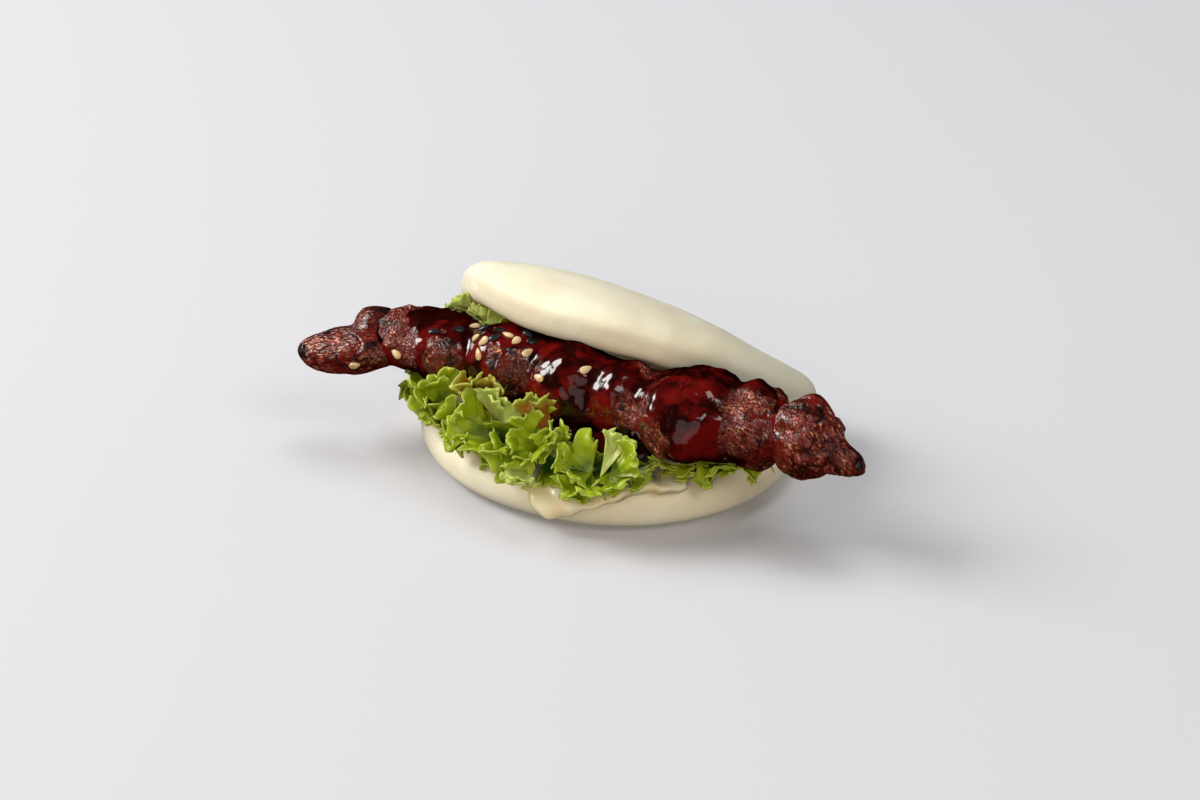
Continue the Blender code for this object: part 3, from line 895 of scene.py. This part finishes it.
BARE_PATCHES = (
    BarePatch((-46.0, -19.0, 31.0), 6.0),
    BarePatch((-35.5, -20.0, 31.0), 5.5),
    BarePatch((-15.0, -22.0, 31.0), 6.0),
    BarePatch((-20.0, -21.0, 35.0), 3.5),
    BarePatch((19.0, -25.0, 30.0), 4.5),
    BarePatch((20.0, -14.5, 36.0), 4.5),
    BarePatch((23.5, -27.0, 32.0), 4.5),
    BarePatch((27.0, -31.0, 28.5), 5.5),
    BarePatch((47.0, -20.0, 35.0), 6.5),
    BarePatch((50.0, -25.0, 30.0), 7.0),
)


@dataclass
class GlazeCoat:
    """The glaze that runs over the row, thick in the gaps and open over the bare patches."""

    row: ChickenRow
    ends: tuple[float, float] = (-52 * MM, 58 * MM)
    full: tuple[float, float] = (-43 * MM, 44 * MM)
    cells: tuple[int, int] = (370, 44)
    join: float = 4.5 * MM
    cover: float = 0.55 * MM
    hollow: float = -1.4 * MM
    reach: float = 22 * MM
    steps: int = 13
    broken: tuple[float, float] = (1.4 * MM, 2.6 * MM)
    ripple: tuple[float, float] = (0.24 * MM, 3.4 * MM)
    crumb: tuple[float, float] = (0.15 * MM, 1.1 * MM)

    def lumps(self) -> list[Lump]:
        """List every lump of the row, from left to right."""
        return sorted((lump for chunk in CHUNKS for lump in chunk.lumps), key=lambda lump: lump.middle[0])

    def field(self, points: np.ndarray) -> np.ndarray:
        """Work out the signed distance to all the lumps, flowing together."""
        return flow_together(self.lumps(), points, self.join)

    def bumps(self, skin: np.ndarray) -> np.ndarray:
        """Work out how far the bumps of the pieces under the coat lift it."""
        weights = np.zeros(len(skin))
        lifted = np.zeros(len(skin))
        for index, chunk in enumerate(CHUNKS):
            near = np.min([lump.distance(skin) for lump in chunk.lumps], axis=0)
            weight = np.exp(-np.clip(near, 0, 20 * MM) / (1.2 * MM))
            weights += weight
            lifted += weight * lattice_noise(skin, self.row.bump_size, index)
        return lifted * (self.row.bump / np.maximum(weights, 1e-6))

    def bareness(self, skin: np.ndarray) -> np.ndarray:
        """Work out where the coat is open, from 0 to 1, with broken edges."""
        depth, size = self.broken
        broken = depth * layered_noise(skin, size, Pattern.BROKEN_EDGE, 2)
        bare = np.zeros(len(skin))
        for patch in BARE_PATCHES:
            away = np.linalg.norm(skin - np.array(patch.middle) * MM, axis=1) + broken
            bare = np.maximum(bare, ease(-away, -patch.radius * MM, -0.62 * patch.radius * MM))
        return bare

    def mesh(self) -> bpy.types.Mesh:
        """Build the coat as a tube round the row's axis, closed at its ends."""
        mesh = block_mesh("coat", (self.cells[0], self.cells[1], self.cells[1]))
        flat = places_of(mesh)
        ring = np.maximum(np.abs(flat[:, 1]), np.abs(flat[:, 2]))
        even = np.tan(flat[:, 1:] * math.pi / 4 / np.maximum(ring, 1e-9)[:, None])
        angle = np.arctan2(even[:, 1], even[:, 0])
        x = self.ends[0] + (self.ends[1] - self.ends[0]) * (flat[:, 0] + 1) / 2
        middles = np.array([lump.middle for lump in self.lumps()]) * MM
        axis = [np.interp(x, middles[:, 0], middles[:, i]) for i in (1, 2)]
        starts = np.stack([x, *axis], 1)
        ways = np.stack([np.zeros(len(x)), np.cos(angle), np.sin(angle)], 1)
        low = way_out(starts, ways, self.field, self.reach, self.steps)
        skin = starts + ways * low[:, None]
        bare = self.bareness(skin)
        fade = ease(x, self.ends[0], self.full[0]) * (1 - ease(x, self.full[1], self.ends[1]))
        cover = (self.cover - self.hollow) * fade * (1 - 0.45 * bare)
        radius = low + self.bumps(skin) + self.hollow + cover
        for (height, size), pattern, share in (
            (self.ripple, Pattern.RIPPLES, 1 - bare),
            (self.crumb, Pattern.CRUMBS, bare),
        ):
            radius += height * layered_noise(skin, size, pattern, 2) * share
        move_to(mesh, starts + ways * (radius * np.where(ring > 0.999, 1.0, ring))[:, None])
        places = places_of(mesh)
        deep = np.min([self.row.meat(places, i) for i in range(len(CHUNKS))], axis=0)
        # Near-black where the glaze lies deep between the lumps, which is real pooling, plus painted shade on
        # the low sides and the back under the flap.
        under = ease(places[:, 2], 27 * MM, 21 * MM) + ease(places[:, 1], -14.5 * MM, -10 * MM)
        paint(mesh, "pool_and_shade", np.clip(ease(deep, 0.5 * MM, 2.0 * MM) + under, 0, 1))
        paint_grain(mesh, places, NO_FIBRES)
        paint(mesh, "bare", bare)
        paint(mesh, "char_and_crease_shade", ease(bare, 0.1, 0.5) * (1 - ease(bare, 0.5, 0.95)) * 0.3)
        return mesh

    def build(self, finish: bpy.types.Material) -> bpy.types.Object:
        """Build and dress the coat."""
        piece = add_piece("glaze_coat", self.mesh(), finish)
        settle(piece, "glazed_chicken")
        return piece


@dataclass
class SauceAndShadePool:
    """The dark sauce that has run down between the chicken and the lettuce, near-black also as painted shade
    in the crevice there.
    """

    lumps: tuple[Lump, ...] = (
        Lump((-2.0, -24.0, 19.5), (7.0, 3.4, 2.4)),
        Lump((8.0, -25.0, 19.8), (8.0, 3.6, 2.6)),
        Lump((19.0, -26.0, 19.0), (6.5, 3.4, 2.6), 10),
    )
    middle: Place = (8.0 * MM, -25.0 * MM, 19.6 * MM)
    half_length: float = 15 * MM
    lean: Place = (1.0, -0.08, -0.01)
    cells: tuple[int, int, int] = (90, 30, 30)
    join: float = 3 * MM

    def field(self, points: np.ndarray) -> np.ndarray:
        """Work out the signed distance to the pool."""
        total = flow_together(self.lumps, points, self.join)
        return total - 0.5 * MM * layered_noise(points, 4 * MM, Pattern.POOL, 2)

    def build(self, finish: bpy.types.Material) -> bpy.types.Object:
        """Build and dress the pool."""
        mesh = block_mesh("pool", self.cells)
        flat = places_of(mesh)
        along = self.half_length * np.clip(flat[:, 0], -0.9, 0.9)
        starts = np.array(self.middle) + along[:, None] * np.array(self.lean)
        ways = np.tan(flat * math.pi / 4)
        ways[:, 0] = np.sign(flat[:, 0]) * np.maximum(np.abs(flat[:, 0]) - 0.9, 0) * 8
        ways /= np.linalg.norm(ways, axis=1)[:, None]
        move_to(mesh, starts + ways * way_out(starts, ways, self.field)[:, None])
        # Fully pooled: near-black sauce, which also stands as painted shade in the crevice under the chicken.
        for name, value in (("pool_and_shade", 1.0), ("bare", 0.0), ("char_and_crease_shade", 0.0)):
            paint(mesh, name, np.full(len(flat), value))
        paint_grain(mesh, places_of(mesh), NO_FIBRES)
        piece = add_piece("sauce_and_shade_pool", mesh, finish)
        settle(piece, "glazed_chicken")
        return piece


# ---------------------------------------------------------------- the sesame seeds


SEEDS = {
    SeedKind.WHITE: (
        (-30.8, -9.9, 35.5), (-26.6, -16.3, 35.2), (-23.5, -19.1, 37.5), (-18.3, -15.9, 38.1),
        (-15.6, -16.9, 37.8), (-24.0, -20.6, 34.4), (-12.0, -17.3, 34.9), (-5.7, -23.9, 33.5),
        (5.4, -20.6, 36.3), (-47.4, -20.4, 29.7), (-58.0, -23.5, 25.9),
    ),
    SeedKind.BLACK: (
        (-38.4, -17.4, 36.6), (-33.3, -14.1, 36.4), (-26.4, -13.2, 37.8), (-20.9, -17.9, 37.8),
        (-21.6, -14.2, 38.1), (-14.3, -12.9, 37.2), (-12.3, -14.2, 36.3),
    ),
}


@dataclass
class SesameSeeds:
    """The seeds scattered over the glaze, as one piece of each kind."""

    size: Place = (3.3 * MM, 1.9 * MM, 1.0 * MM)
    axis: tuple[float, float] = (-14 * MM, 28 * MM)
    seed: int = 7
    sides: tuple[int, int] = (20, 14)
    above: float = 8 * MM

    def build(self, surface: BVHTree) -> None:
        """Build and dress the seeds on the chicken's surface."""
        draw = random.Random(self.seed)
        for kind, places in SEEDS.items():
            mesh = bpy.data.meshes.new(kind.value + "_seeds")
            with shaping(mesh) as shape:
                for place in places:
                    self.add(shape, surface, place, draw.uniform(0, math.tau))
            piece = add_piece(kind.value + "_seeds", mesh, SesameCoat(kind).material())
            settle(piece, "glazed_chicken")

    def add(self, shape: bmesh.types.BMesh, surface: BVHTree, place: Place, turn: float) -> None:
        """Add one flat drop, lying on the surface.

        Args:
            shape: what it is added to.
            surface: the chicken.
            place: where it lies, in mm.
            turn: how it is turned on the surface.
        """
        near = Vector(place) * MM
        inwards = (Vector((near.x, *self.axis)) - near).normalized()
        near, normal, _, _ = surface.ray_cast(near - inwards * self.above, inwards)
        around, along = self.sides
        made = bmesh.ops.create_uvsphere(shape, u_segments=around, v_segments=along, radius=0.5)["verts"]
        for vertex in made:
            x, y, z = vertex.co
            narrow = 1 - 0.7 * z
            vertex.co = (z * self.size[0], x * self.size[1] * narrow, y * self.size[2] * narrow)
        stand = normal.to_track_quat("Z", "Y").to_matrix().to_4x4() @ Matrix.Rotation(turn, 4, "Z")
        lift = Matrix.Translation(near + normal * 0.3 * self.size[2])
        bmesh.ops.transform(shape, matrix=lift @ stand, verts=made)


# ---------------------------------------------------------------- the lettuce


class Tint(Enum):
    """How a lobe of a leaf is coloured: how browned it is, and how pale."""

    GREEN = (0.0, 0.0)
    PALE = (0.0, 0.6)
    BROWNED = (1.0, 0.1)
    YELLOWED = (0.85, 0.2)


@dataclass(frozen=True)
class Lobe:
    """One curled lobe of a leaf: from its root to its tip in mm, half as wide as this, curling by so much."""

    root: Place
    tip: Place
    half_width: float
    curl: float = 2.0
    tint: Tint = Tint.GREEN


@dataclass(frozen=True)
class Leaf:
    """One leaf between three lines in mm: the margin by the chicken, the middle, the margin by the rim."""

    node: str
    upper: tuple[Place, ...]
    middle: tuple[Place, ...]
    lower: tuple[Place, ...]
    waves: float
    cells: tuple[int, int]
    lobes: tuple[Lobe, ...]


LEAVES = (
    Leaf(
        "leaf_left",
        ((-50, -15, 17), (-46, -22, 19), (-36, -24.5, 22), (-24, -26, 24), (-12, -27, 23), (-2.5, -28, 20)),
        ((-48, -10, 15), (-43, -16, 15), (-34, -21, 15), (-24, -25, 15), (-13, -28, 15), (-2.5, -30, 15)),
        (
            (-50.5, -9, 18),
            (-44.5, -20, 16),
            (-34, -29, 15.5),
            (-24, -35, 15),
            (-12, -39.5, 14),
            (-2.5, -41.5, 12),
        ),
        6,
        (160, 24),
        (
            Lobe((-41.3, -13, 20.3), (-46.8, -14.5, 23.3), 4.5, 1.5),
            Lobe((-39, -16, 16), (-44.2, -20, 15.8), 5.0, 2.0),
            Lobe((-34, -19, 16), (-39.5, -25.5, 15.5), 6.0, 2.0),
            Lobe((-34, -22.5, 17), (-34.0, -22.5, 29.2), 6.0, 2.5),
            Lobe((-23.5, -25, 18), (-21.5, -25.5, 30.8), 5.0, 1.5, Tint.BROWNED),
            Lobe((-17, -27, 18), (-13.5, -27.5, 29), 5.0, 2.5, Tint.PALE),
            Lobe((-15, -28.5, 17), (-26, -28, 23), 8.5, 3.0),
            Lobe((-21, -26, 16.5), (-28.5, -33, 15.5), 7.5, 2.5),
            Lobe((-14.8, -28.7, 17), (-17.5, -38.4, 15), 7.0, 2.5),
            Lobe((-8.4, -27, 17), (-8.5, -40.5, 14.5), 7.5, 3.0),
            Lobe((-1.2, -31, 17), (-9.5, -31, 23), 6.5, 3.0),
            Lobe((-7, -30, 17), (2.0, -38.5, 18.5), 6.0, 3.5),
            Lobe((-3.5, -36, 15.5), (-4.0, -43.5, 13.5), 4.0, 1.5, Tint.PALE),
            Lobe((2.5, -33, 17), (-0.5, -30.5, 23), 4.0, 2.0),
            Lobe((-1.5, -28.3, 20), (-6.5, -27.3, 30.8), 4.2, 1.0, Tint.YELLOWED),
        ),
    ),
    Leaf(
        "leaf_middle",
        ((-0.5, -28, 20), (6, -26, 21), (13, -26, 24), (19, -27, 21), (25, -26, 18)),
        ((-0.5, -31, 15), (6, -30, 15), (13, -29, 15), (19, -28, 15), (25, -26, 15)),
        ((-0.5, -41.5, 12), (6, -41, 12), (13, -43, 10), (19, -38, 13.5), (26, -32, 15)),
        2.7,
        (150, 32),
        (
            Lobe((12.9, -34.5, 16), (6.5, -32, 22), 6.5, 3.0),
            Lobe((13.2, -32.6, 16.5), (6.5, -38.5, 16.5), 6.0, 2.0),
            Lobe((12.5, -33, 15.5), (11.5, -43, 12), 6.5, 2.5),
            Lobe((16.6, -37.3, 17), (18.8, -30.0, 26.0), 2.1, 1.0, Tint.PALE),
            Lobe((18.5, -35.5, 17), (25.0, -31.5, 23), 5.5, 2.5),
            Lobe((17.5, -33, 16), (23.0, -37.5, 15), 5.5, 2.0),
            Lobe((22, -29, 16.5), (27.8, -32, 15.5), 4.0, 1.5),
        ),
    ),
    Leaf(
        "leaf_right",
        ((28, -26, 15.7), (35, -26, 15.7), (42, -22, 16.5), (48, -18, 17), (53, -13, 17)),
        ((28, -20, 15.2), (35, -19, 15.2), (42, -16, 15.2), (47, -13, 15.2), (50, -9, 15.2)),
        ((29, -26.5, 15.3), (36, -23, 15.2), (42, -18.5, 14), (48, -14, 13.5), (52, -8, 14)),
        3,
        (150, 26),
        (
            Lobe((28, -22, 16), (30, -27.4, 17.5), 5.0, 2.0),
            Lobe((33, -20, 16), (36.5, -24.2, 16.8), 4.6, 2.0),
            Lobe((39.2, -18, 17), (42.5, -24.0, 16.2), 4.8, 3.0),
            Lobe((43, -16, 16.5), (46.5, -20.5, 16.5), 4.0, 2.0),
            Lobe((46, -13, 16), (51, -15.5, 16.5), 3.5, 1.5),
        ),
    ),
    Leaf(
        "leaf_back",
        ((-47, 6, 33), (-41, 6, 35), (-36, 6, 35), (-30, 5.5, 34), (-22, 5, 31)),
        ((-45, 7.5, 27), (-40, 7.5, 28), (-35, 7.5, 28), (-29, 7.5, 27), (-22, 7, 26)),
        ((-42, 8, 20), (-37, 8, 20), (-32, 8, 20), (-27, 8, 20), (-22, 8, 20)),
        2.5,
        (110, 30),
        (
            Lobe((-33, -0.5, 28), (-42.5, -2.5, 33.5), 5.0, 1.0, Tint.PALE),
            Lobe((-28, -1.0, 28), (-37.0, -2.5, 34.0), 4.6, 1.0, Tint.PALE),
            Lobe((-23, -2, 28), (-30.5, -3.0, 34), 4.2, 1.0, Tint.PALE),
            Lobe((-19, -4, 29), (-26.0, -5.0, 35), 3.6, 0.5, Tint.YELLOWED),
        ),
    ),
)


@dataclass(frozen=True)
class Ruffle:
    """One size of ruffle: how much finer than the main one, its height, its growth outwards, its overhang."""

    scale: float
    height: float
    power: float
    overhang: float


RUFFLES = (
    Ruffle(0.53, 1.8 * MM, 0.7, 0.3),
    Ruffle(1.0, 3.0 * MM, 1.3, 0.55),
    Ruffle(2.3, 1.2 * MM, 2.2, 0.4),
    Ruffle(5.1, 0.42 * MM, 3.5, 0.4),
)


@dataclass(frozen=True)
class Obstacle:
    """A surface that the lettuce keeps clear of, and how far behind it a point still counts as inside."""

    surface: BVHTree
    deepest: float = 1.0
    clearance: float = 0.45 * MM

    def push(self, points: np.ndarray) -> None:
        """Move points that are too near, or just behind the surface, out to the clearance."""
        for i, point in enumerate(points):
            here = Vector(point)
            near, normal, _, distance = self.surface.find_nearest(here)
            outwards = (here - near).dot(normal)
            if (outwards < 0 and distance < self.deepest) or (outwards >= 0 and distance < self.clearance):
                way = normal if outwards < 0 or distance < 1e-7 else (here - near) / distance
                points[i] = near + way * self.clearance


@dataclass
class LettuceLeaves:
    """The curly leaves under and behind the chicken."""

    thickness: float = 0.4 * MM
    lobe_cells: tuple[int, int] = (60, 18)
    frill_cells: tuple[int, int] = (32, 10)
    frill_places: tuple[float, ...] = (-0.72, 0.0, 0.72)
    frill_width: float = 0.5
    frill_root: float = 0.62
    sheet_share: float = 0.75
    rounding: float = 0.22
    wave_widths: tuple[float, ...] = (17 * MM, 7.2 * MM, 3.1 * MM, 1.5 * MM)
    outward: Place = (0.1, -0.55, 0.83)
    crinkle: tuple[float, float] = (1.3 * MM, 4.5 * MM)

    def line(self, points: tuple[Place, ...], u: np.ndarray) -> np.ndarray:
        """Find points at u, from 0 to 1, on a smooth curve through these."""
        knots = np.array(points, float) * MM
        knots = np.vstack([2 * knots[0] - knots[1], knots, 2 * knots[-1] - knots[-2]])
        place = np.clip(u, 0, 1) * (len(points) - 1)
        first = np.minimum(place.astype(int), len(points) - 2)
        t = (place - first)[:, None]
        a, b, c, d = (knots[first + i] for i in range(4))
        bend = (2 * a - 5 * b + 4 * c - d) * t**2 + (3 * b - a - 3 * c + d) * t**3
        return b + 0.5 * ((c - a) * t + bend)

    def base(self, leaf: Leaf, u: np.ndarray, v: np.ndarray) -> np.ndarray:
        """Find the leaf before it is ruffled; v is -1 on the upper margin and +1 on the lower."""
        middle = self.line(leaf.middle, u)
        towards_upper = (np.hypot(v, self.rounding) - v)[:, None] / 2
        towards_lower = (np.hypot(v, self.rounding) + v)[:, None] / 2
        upper = self.line(leaf.upper, u) - middle
        lower = self.line(leaf.lower, u) - middle
        return middle + upper * towards_upper + lower * towards_lower

    def sheet(self, leaf: Leaf, u: np.ndarray, v: np.ndarray) -> np.ndarray:
        """Find the ruffled middle surface of a leaf.

        Args:
            leaf: which leaf.
            u: along it, from 0 to 1.
            v: across it, from -1 to 1.

        Returns:
            Rows of x, y, z.
        """
        step = 1e-3
        base = self.base(leaf, u, v)
        along = self.base(leaf, np.minimum(u + step, 1), v) - self.base(leaf, np.maximum(u - step, 0), v)
        across = self.base(leaf, u, v + step) - self.base(leaf, u, v - step)
        along /= np.linalg.norm(along, axis=1)[:, None]
        across /= np.linalg.norm(across, axis=1)[:, None]
        normal = np.cross(across, along)
        normal /= np.linalg.norm(normal, axis=1)[:, None]
        side = np.tanh(v * 12)
        fade = np.clip(6 * np.minimum(u, 1 - u), 0, 1)
        moved = base.copy()
        for ruffle in RUFFLES:
            phase = math.tau * leaf.waves * ruffle.scale * u + 1.3 * ruffle.scale + 0.8 * side + 0.7 * v
            phase += 0.9 * np.sin(math.tau * (1.7 * u + 0.37 * ruffle.scale))
            phase += 0.6 * np.sin(math.tau * 4.3 * u + v)
            uneven = 1 + 0.4 * np.sin(math.tau * (2.9 * u + 0.21 * ruffle.scale) + v)
            grown = ruffle.height * np.abs(v) ** ruffle.power * uneven
            moved += normal * (grown * np.sin(phase))[:, None]
            moved += along * (ruffle.overhang * grown * np.sin(2 * phase) * fade)[:, None]
            moved += across * (0.3 * ruffle.overhang * grown * np.cos(phase) * side)[:, None]
        return moved

    def lobe(self, lobe: Lobe, a: np.ndarray, b: np.ndarray, number: int) -> np.ndarray:
        """Find the curled middle surface of a lobe.

        Args:
            lobe: which lobe.
            a: round it, from -1 to 1.
            b: from 0 at its root to 1 at its margin.
            number: sets its own ruffles.

        Returns:
            Rows of x, y, z.
        """
        root, tip = np.array(lobe.root) * MM, np.array(lobe.tip) * MM
        length = float(np.linalg.norm(tip - root))
        ahead = (tip - root) / length
        outward = np.array(self.outward)
        outward -= ahead * (outward @ ahead)
        outward /= np.linalg.norm(outward)
        aside = np.cross(outward, ahead)
        spread = math.atan2(lobe.half_width * MM, length * 0.62)
        draw = random.Random(number)
        first, second, third, fourth = (draw.uniform(0, math.tau) for _ in range(4))
        arc = 2 * spread * length
        broad, curl, frill, tooth = (math.pi * arc / wave * a for wave in self.wave_widths)
        scallop = 1 + 0.09 * np.sin(broad + first) + 0.06 * np.sin(curl + second)
        scallop += 0.045 * np.sin(frill + third) + 0.02 * np.sin(tooth + second)
        far = length * b * scallop
        turn = spread * a
        places = root + (far * np.cos(turn * 0.9))[:, None] * ahead + (far * np.sin(turn))[:, None] * aside
        size = 0.11 * (length / MM + lobe.half_width) * MM
        lift = lobe.curl * MM * (b**2 - 0.55 * b**6)
        lift += 1.00 * size * b**1.8 * np.sin(broad + second + 1.6 * b)
        lift += 0.80 * size * b**4.5 * np.sin(curl + third - 2.0 * b)
        lift += 0.34 * size * b**8.0 * np.sin(frill + fourth)
        lift += 0.17 * size * b**12.0 * np.sin(tooth + first)
        sway = 0.40 * size * b**2 * np.sin(2 * (broad + second)) + 0.65 * size * b**4.5 * np.cos(curl + third)
        sway += 0.34 * size * b**8 * np.cos(frill + fourth)
        back = 0.5 * size * b**5 * (1 + np.sin(curl + third + 1.0))
        places += lift[:, None] * outward + sway[:, None] * aside - back[:, None] * ahead
        depth, size = self.crinkle
        uneven = layered_noise(places, size, Pattern.LOBES + number, 2) * depth * b
        return places + uneven[:, None] * outward

    def frills(self, lobe: Lobe, number: int) -> list[Lobe]:
        """Make the smaller lobes that curl up and down along a lobe's margin."""
        draw = random.Random(Pattern.FRILLS + number)
        made = []
        for middle in self.frill_places:
            a = np.full(2, middle + draw.uniform(-0.12, 0.12))
            root, tip = self.lobe(lobe, a, np.array([self.frill_root, 1.0]), number) / MM
            rise = draw.uniform(-1.0, 2.2)
            tip = tip + (tip - root) * 0.18 + np.array([0.0, -0.4 * rise, rise])
            curl = draw.choice((-1.5, 1.5, 2.5))
            width = self.frill_width * lobe.half_width
            made.append(Lobe(tuple(root), tuple(tip), width, curl, lobe.tint))
        return made

    def grid(self, cells: tuple[int, int]) -> tuple[bpy.types.Mesh, np.ndarray, np.ndarray]:
        """Make a flat grid, and give its vertices' places on it from -1 to 1."""
        mesh = grid_mesh("leaf_sheet", cells)
        flat = places_of(mesh)
        return mesh, flat[:, 0], flat[:, 1]

    def dress(self, mesh: bpy.types.Mesh, reach: np.ndarray, vein: np.ndarray, tint: Tint) -> None:
        """Paint a sheet's frills, veins, browned margins and paleness for its finish."""
        brown, pale = tint.value
        paint(mesh, "reach", reach)
        paint(mesh, "vein", vein)
        paint(mesh, "brown", brown * (1 - 0.7 * ease(reach, 0.75, 1.0)))
        paint(mesh, "pale", np.full(len(reach), pale))

    def curled(self, lobe: Lobe, cells: tuple[int, int], inner: float, number: int) -> bpy.types.Mesh:
        """Build and paint one lobe, whose green starts this far out at its root."""
        mesh, a, b = self.grid(cells)
        b = (b + 1) / 2
        move_to(mesh, self.lobe(lobe, a, np.maximum(b, 0.02), number))
        fan = np.abs(np.sin(math.pi * (2.5 * a + 0.25 * np.sin(5 * b + number))))
        vein = (1 - ease(fan, 0.0, 0.16)) * (1 - 0.6 * b)
        rib = 1 - ease(b, 0.05, 0.3)
        self.dress(mesh, inner + (1 - inner) * b, np.maximum(vein, rib) * (1 - inner), lobe.tint)
        return mesh

    def leaf(self, leaf: Leaf, obstacles: list[Obstacle], finish: bpy.types.Material) -> bpy.types.Object:
        """Build and dress one leaf: its wavy sheet and the curled lobes on it.

        Args:
            leaf: which leaf.
            obstacles: what it keeps clear of.
            finish: its material.

        Returns:
            The piece.
        """
        mesh, u, v = self.grid(leaf.cells)
        move_to(mesh, self.sheet(leaf, (u + 1) / 2, v * self.sheet_share))
        branch = np.abs(np.sin(math.pi * (u * leaf.waves + 0.35 * np.abs(v) + 0.1 * np.sin(9 * v))))
        vein = 0.6 * (1 - ease(branch, 0.0, 0.14)) * (1 - 0.7 * np.abs(v))
        self.dress(mesh, np.abs(v), vein, Tint.GREEN)
        sheets = []
        for number, lobe in enumerate(leaf.lobes, len(leaf.node)):
            sheets.append(self.curled(lobe, self.lobe_cells, 0.25, number))
            for part, frill in enumerate(self.frills(lobe, number)):
                sheets.append(self.curled(frill, self.frill_cells, 0.55, 40 * number + part))
        with shaping(mesh) as whole:
            for sheet in sheets:
                whole.from_mesh(sheet)
        places = places_of(mesh)
        for _ in range(2):
            for obstacle in obstacles:
                obstacle.push(places)
        move_to(mesh, places)
        piece = add_piece(leaf.node.replace("leaf", "curly_leaf"), mesh, finish)
        solid = piece.modifiers.new("thickness", "SOLIDIFY")
        solid.thickness = self.thickness
        solid.offset = 0
        settle(piece, "green_leaf", leaf.node)
        return piece

    def build(self, obstacles: list[Obstacle]) -> None:
        """Build and dress every leaf."""
        finish = CurlyLettuce().material()
        for leaf in LEAVES:
            self.leaf(leaf, obstacles, finish)


# ---------------------------------------------------------------- the studio


@dataclass
class Studio:
    """The pale table, the soft light and the camera."""

    table: Colour = (0.705, 0.71, 0.745)
    half_table: float = 3.0
    sky: Colour = (0.95, 0.97, 1.0)
    sky_strength: float = 0.20
    aim: Place = (0.0, 0.0, 0.02)
    azimuth: float = math.radians(24.0)
    elevation: float = math.radians(30.0)
    distance: float = 0.866
    lens: float = 100.03
    sensor: float = 36.0
    tilt: float = math.radians(0.945)

    def floor(self) -> None:
        """Lay the plain pale table."""
        recipe = Recipe("pale_table")
        recipe.set(Base_Color=self.table, Roughness=0.7, Specular_IOR_Level=0.2)
        table = add_piece("table_top", grid_mesh("table_top", (1, 1), self.half_table), recipe.material)
        table.visible_glossy = False
        table.visible_diffuse = False

    def lamp(self, name: str, place: Place, size: float, power: float, tint: Colour, mirrored: bool) -> None:
        """Hang a square soft light that faces the bun.

        Args:
            name: its name.
            place: where it hangs.
            size: its side.
            power: in watts.
            tint: its colour.
            mirrored: whether the glaze mirrors it; the fill lights only brighten the shadows.
        """
        light = bpy.data.lights.new(name, "AREA")
        light.shape = "SQUARE"
        light.size = size
        light.energy = power
        light.color = tint
        lamp = bpy.data.objects.new(name, light)
        bpy.context.scene.collection.objects.link(lamp)
        lamp.location = place
        lamp.visible_glossy = mirrored
        lamp.rotation_euler = (Vector(self.aim) - Vector(place)).to_track_quat("-Z", "Y").to_euler()

    def light(self) -> None:
        """Set the soft light: bright from the upper left and behind, gently filled from all round."""
        world = bpy.data.worlds.new("soft_room")
        bpy.context.scene.world = world
        world.use_nodes = True
        background = world.node_tree.nodes["Background"]
        background.inputs["Color"].default_value = (*self.sky, 1.0)
        background.inputs["Strength"].default_value = self.sky_strength
        world.cycles_visibility.glossy = False
        self.lamp("window", (-1.35, -0.25, 1.0), 0.85, 25.0, (1.0, 0.975, 0.94), True)
        self.lamp("right_sky", (0.9, -0.4, 1.1), 0.6, 3.8, (1.0, 0.96, 0.93), True)
        self.lamp("left_sky", (-1.0, -0.8, 0.35), 0.8, 1.8, (1.0, 0.97, 0.90), False)
        self.lamp("front_card", (0.42, -1.1, 0.23), 0.9, 1.5, (1.0, 0.82, 0.78), True)
        self.lamp("ceiling", (-0.1, 0.5, 1.3), 0.7, 5.2, (0.97, 0.985, 1.0), False)
        self.lamp("front_bounce", (0.4, -1.25, 0.25), 1.0, 5.6, (1.0, 0.78, 0.52), False)

    def camera(self) -> None:
        """Put the camera at its viewing angle."""
        level = math.cos(self.elevation)
        aside, ahead = math.sin(self.azimuth) * level, math.cos(self.azimuth) * level
        back = Vector((aside, -ahead, math.sin(self.elevation)))
        data = bpy.data.cameras.new("camera")
        data.lens = self.lens
        data.sensor_width = self.sensor
        data.clip_start = 0.01
        camera = bpy.data.objects.new("camera", data)
        bpy.context.scene.collection.objects.link(camera)
        camera.location = back * self.distance
        aim = (-back).to_track_quat("-Z", "Y").to_matrix().to_4x4() @ Matrix.Rotation(self.tilt, 4, "X")
        camera.rotation_mode = "QUATERNION"
        camera.rotation_quaternion = aim.to_quaternion()
        bpy.context.scene.camera = camera

    def build(self) -> None:
        """Set up the whole studio."""
        self.floor()
        self.light()
        self.camera()
        bpy.context.scene.view_settings.view_transform = "Standard"


# ---------------------------------------------------------------- the whole


def surface_of(pieces: list[bpy.types.Object]) -> BVHTree:
    """Make one search tree of these pieces' surfaces."""
    places: list[Vector] = []
    faces: list[list[int]] = []
    for piece in pieces:
        start = len(places)
        places += [v.co.copy() for v in piece.data.vertices]
        faces += [[start + i for i in face.vertices] for face in piece.data.polygons]
    return BVHTree.FromPolygons(places, faces)


def main() -> None:
    """Build the studio and every piece of the bao bun, in order."""
    logging.basicConfig(level=logging.INFO, format="%(name)s: %(message)s")
    Studio().build()
    bun = Bun()
    dough = bun.build()
    cream = MayonnaiseSpread(bun).build()
    row = ChickenRow()
    finish = GlazedChicken().material()
    chicken = row.build(finish)
    coat = GlazeCoat(row).build(finish)
    SauceAndShadePool().build(finish)
    meat = surface_of([*chicken, coat])
    SesameSeeds().build(meat)
    obstacles = [Obstacle(surface_of([dough])), Obstacle(surface_of([cream]), 1.5 * MM), Obstacle(meat)]
    LettuceLeaves().build(obstacles)


if __name__ == "__main__":
    main()
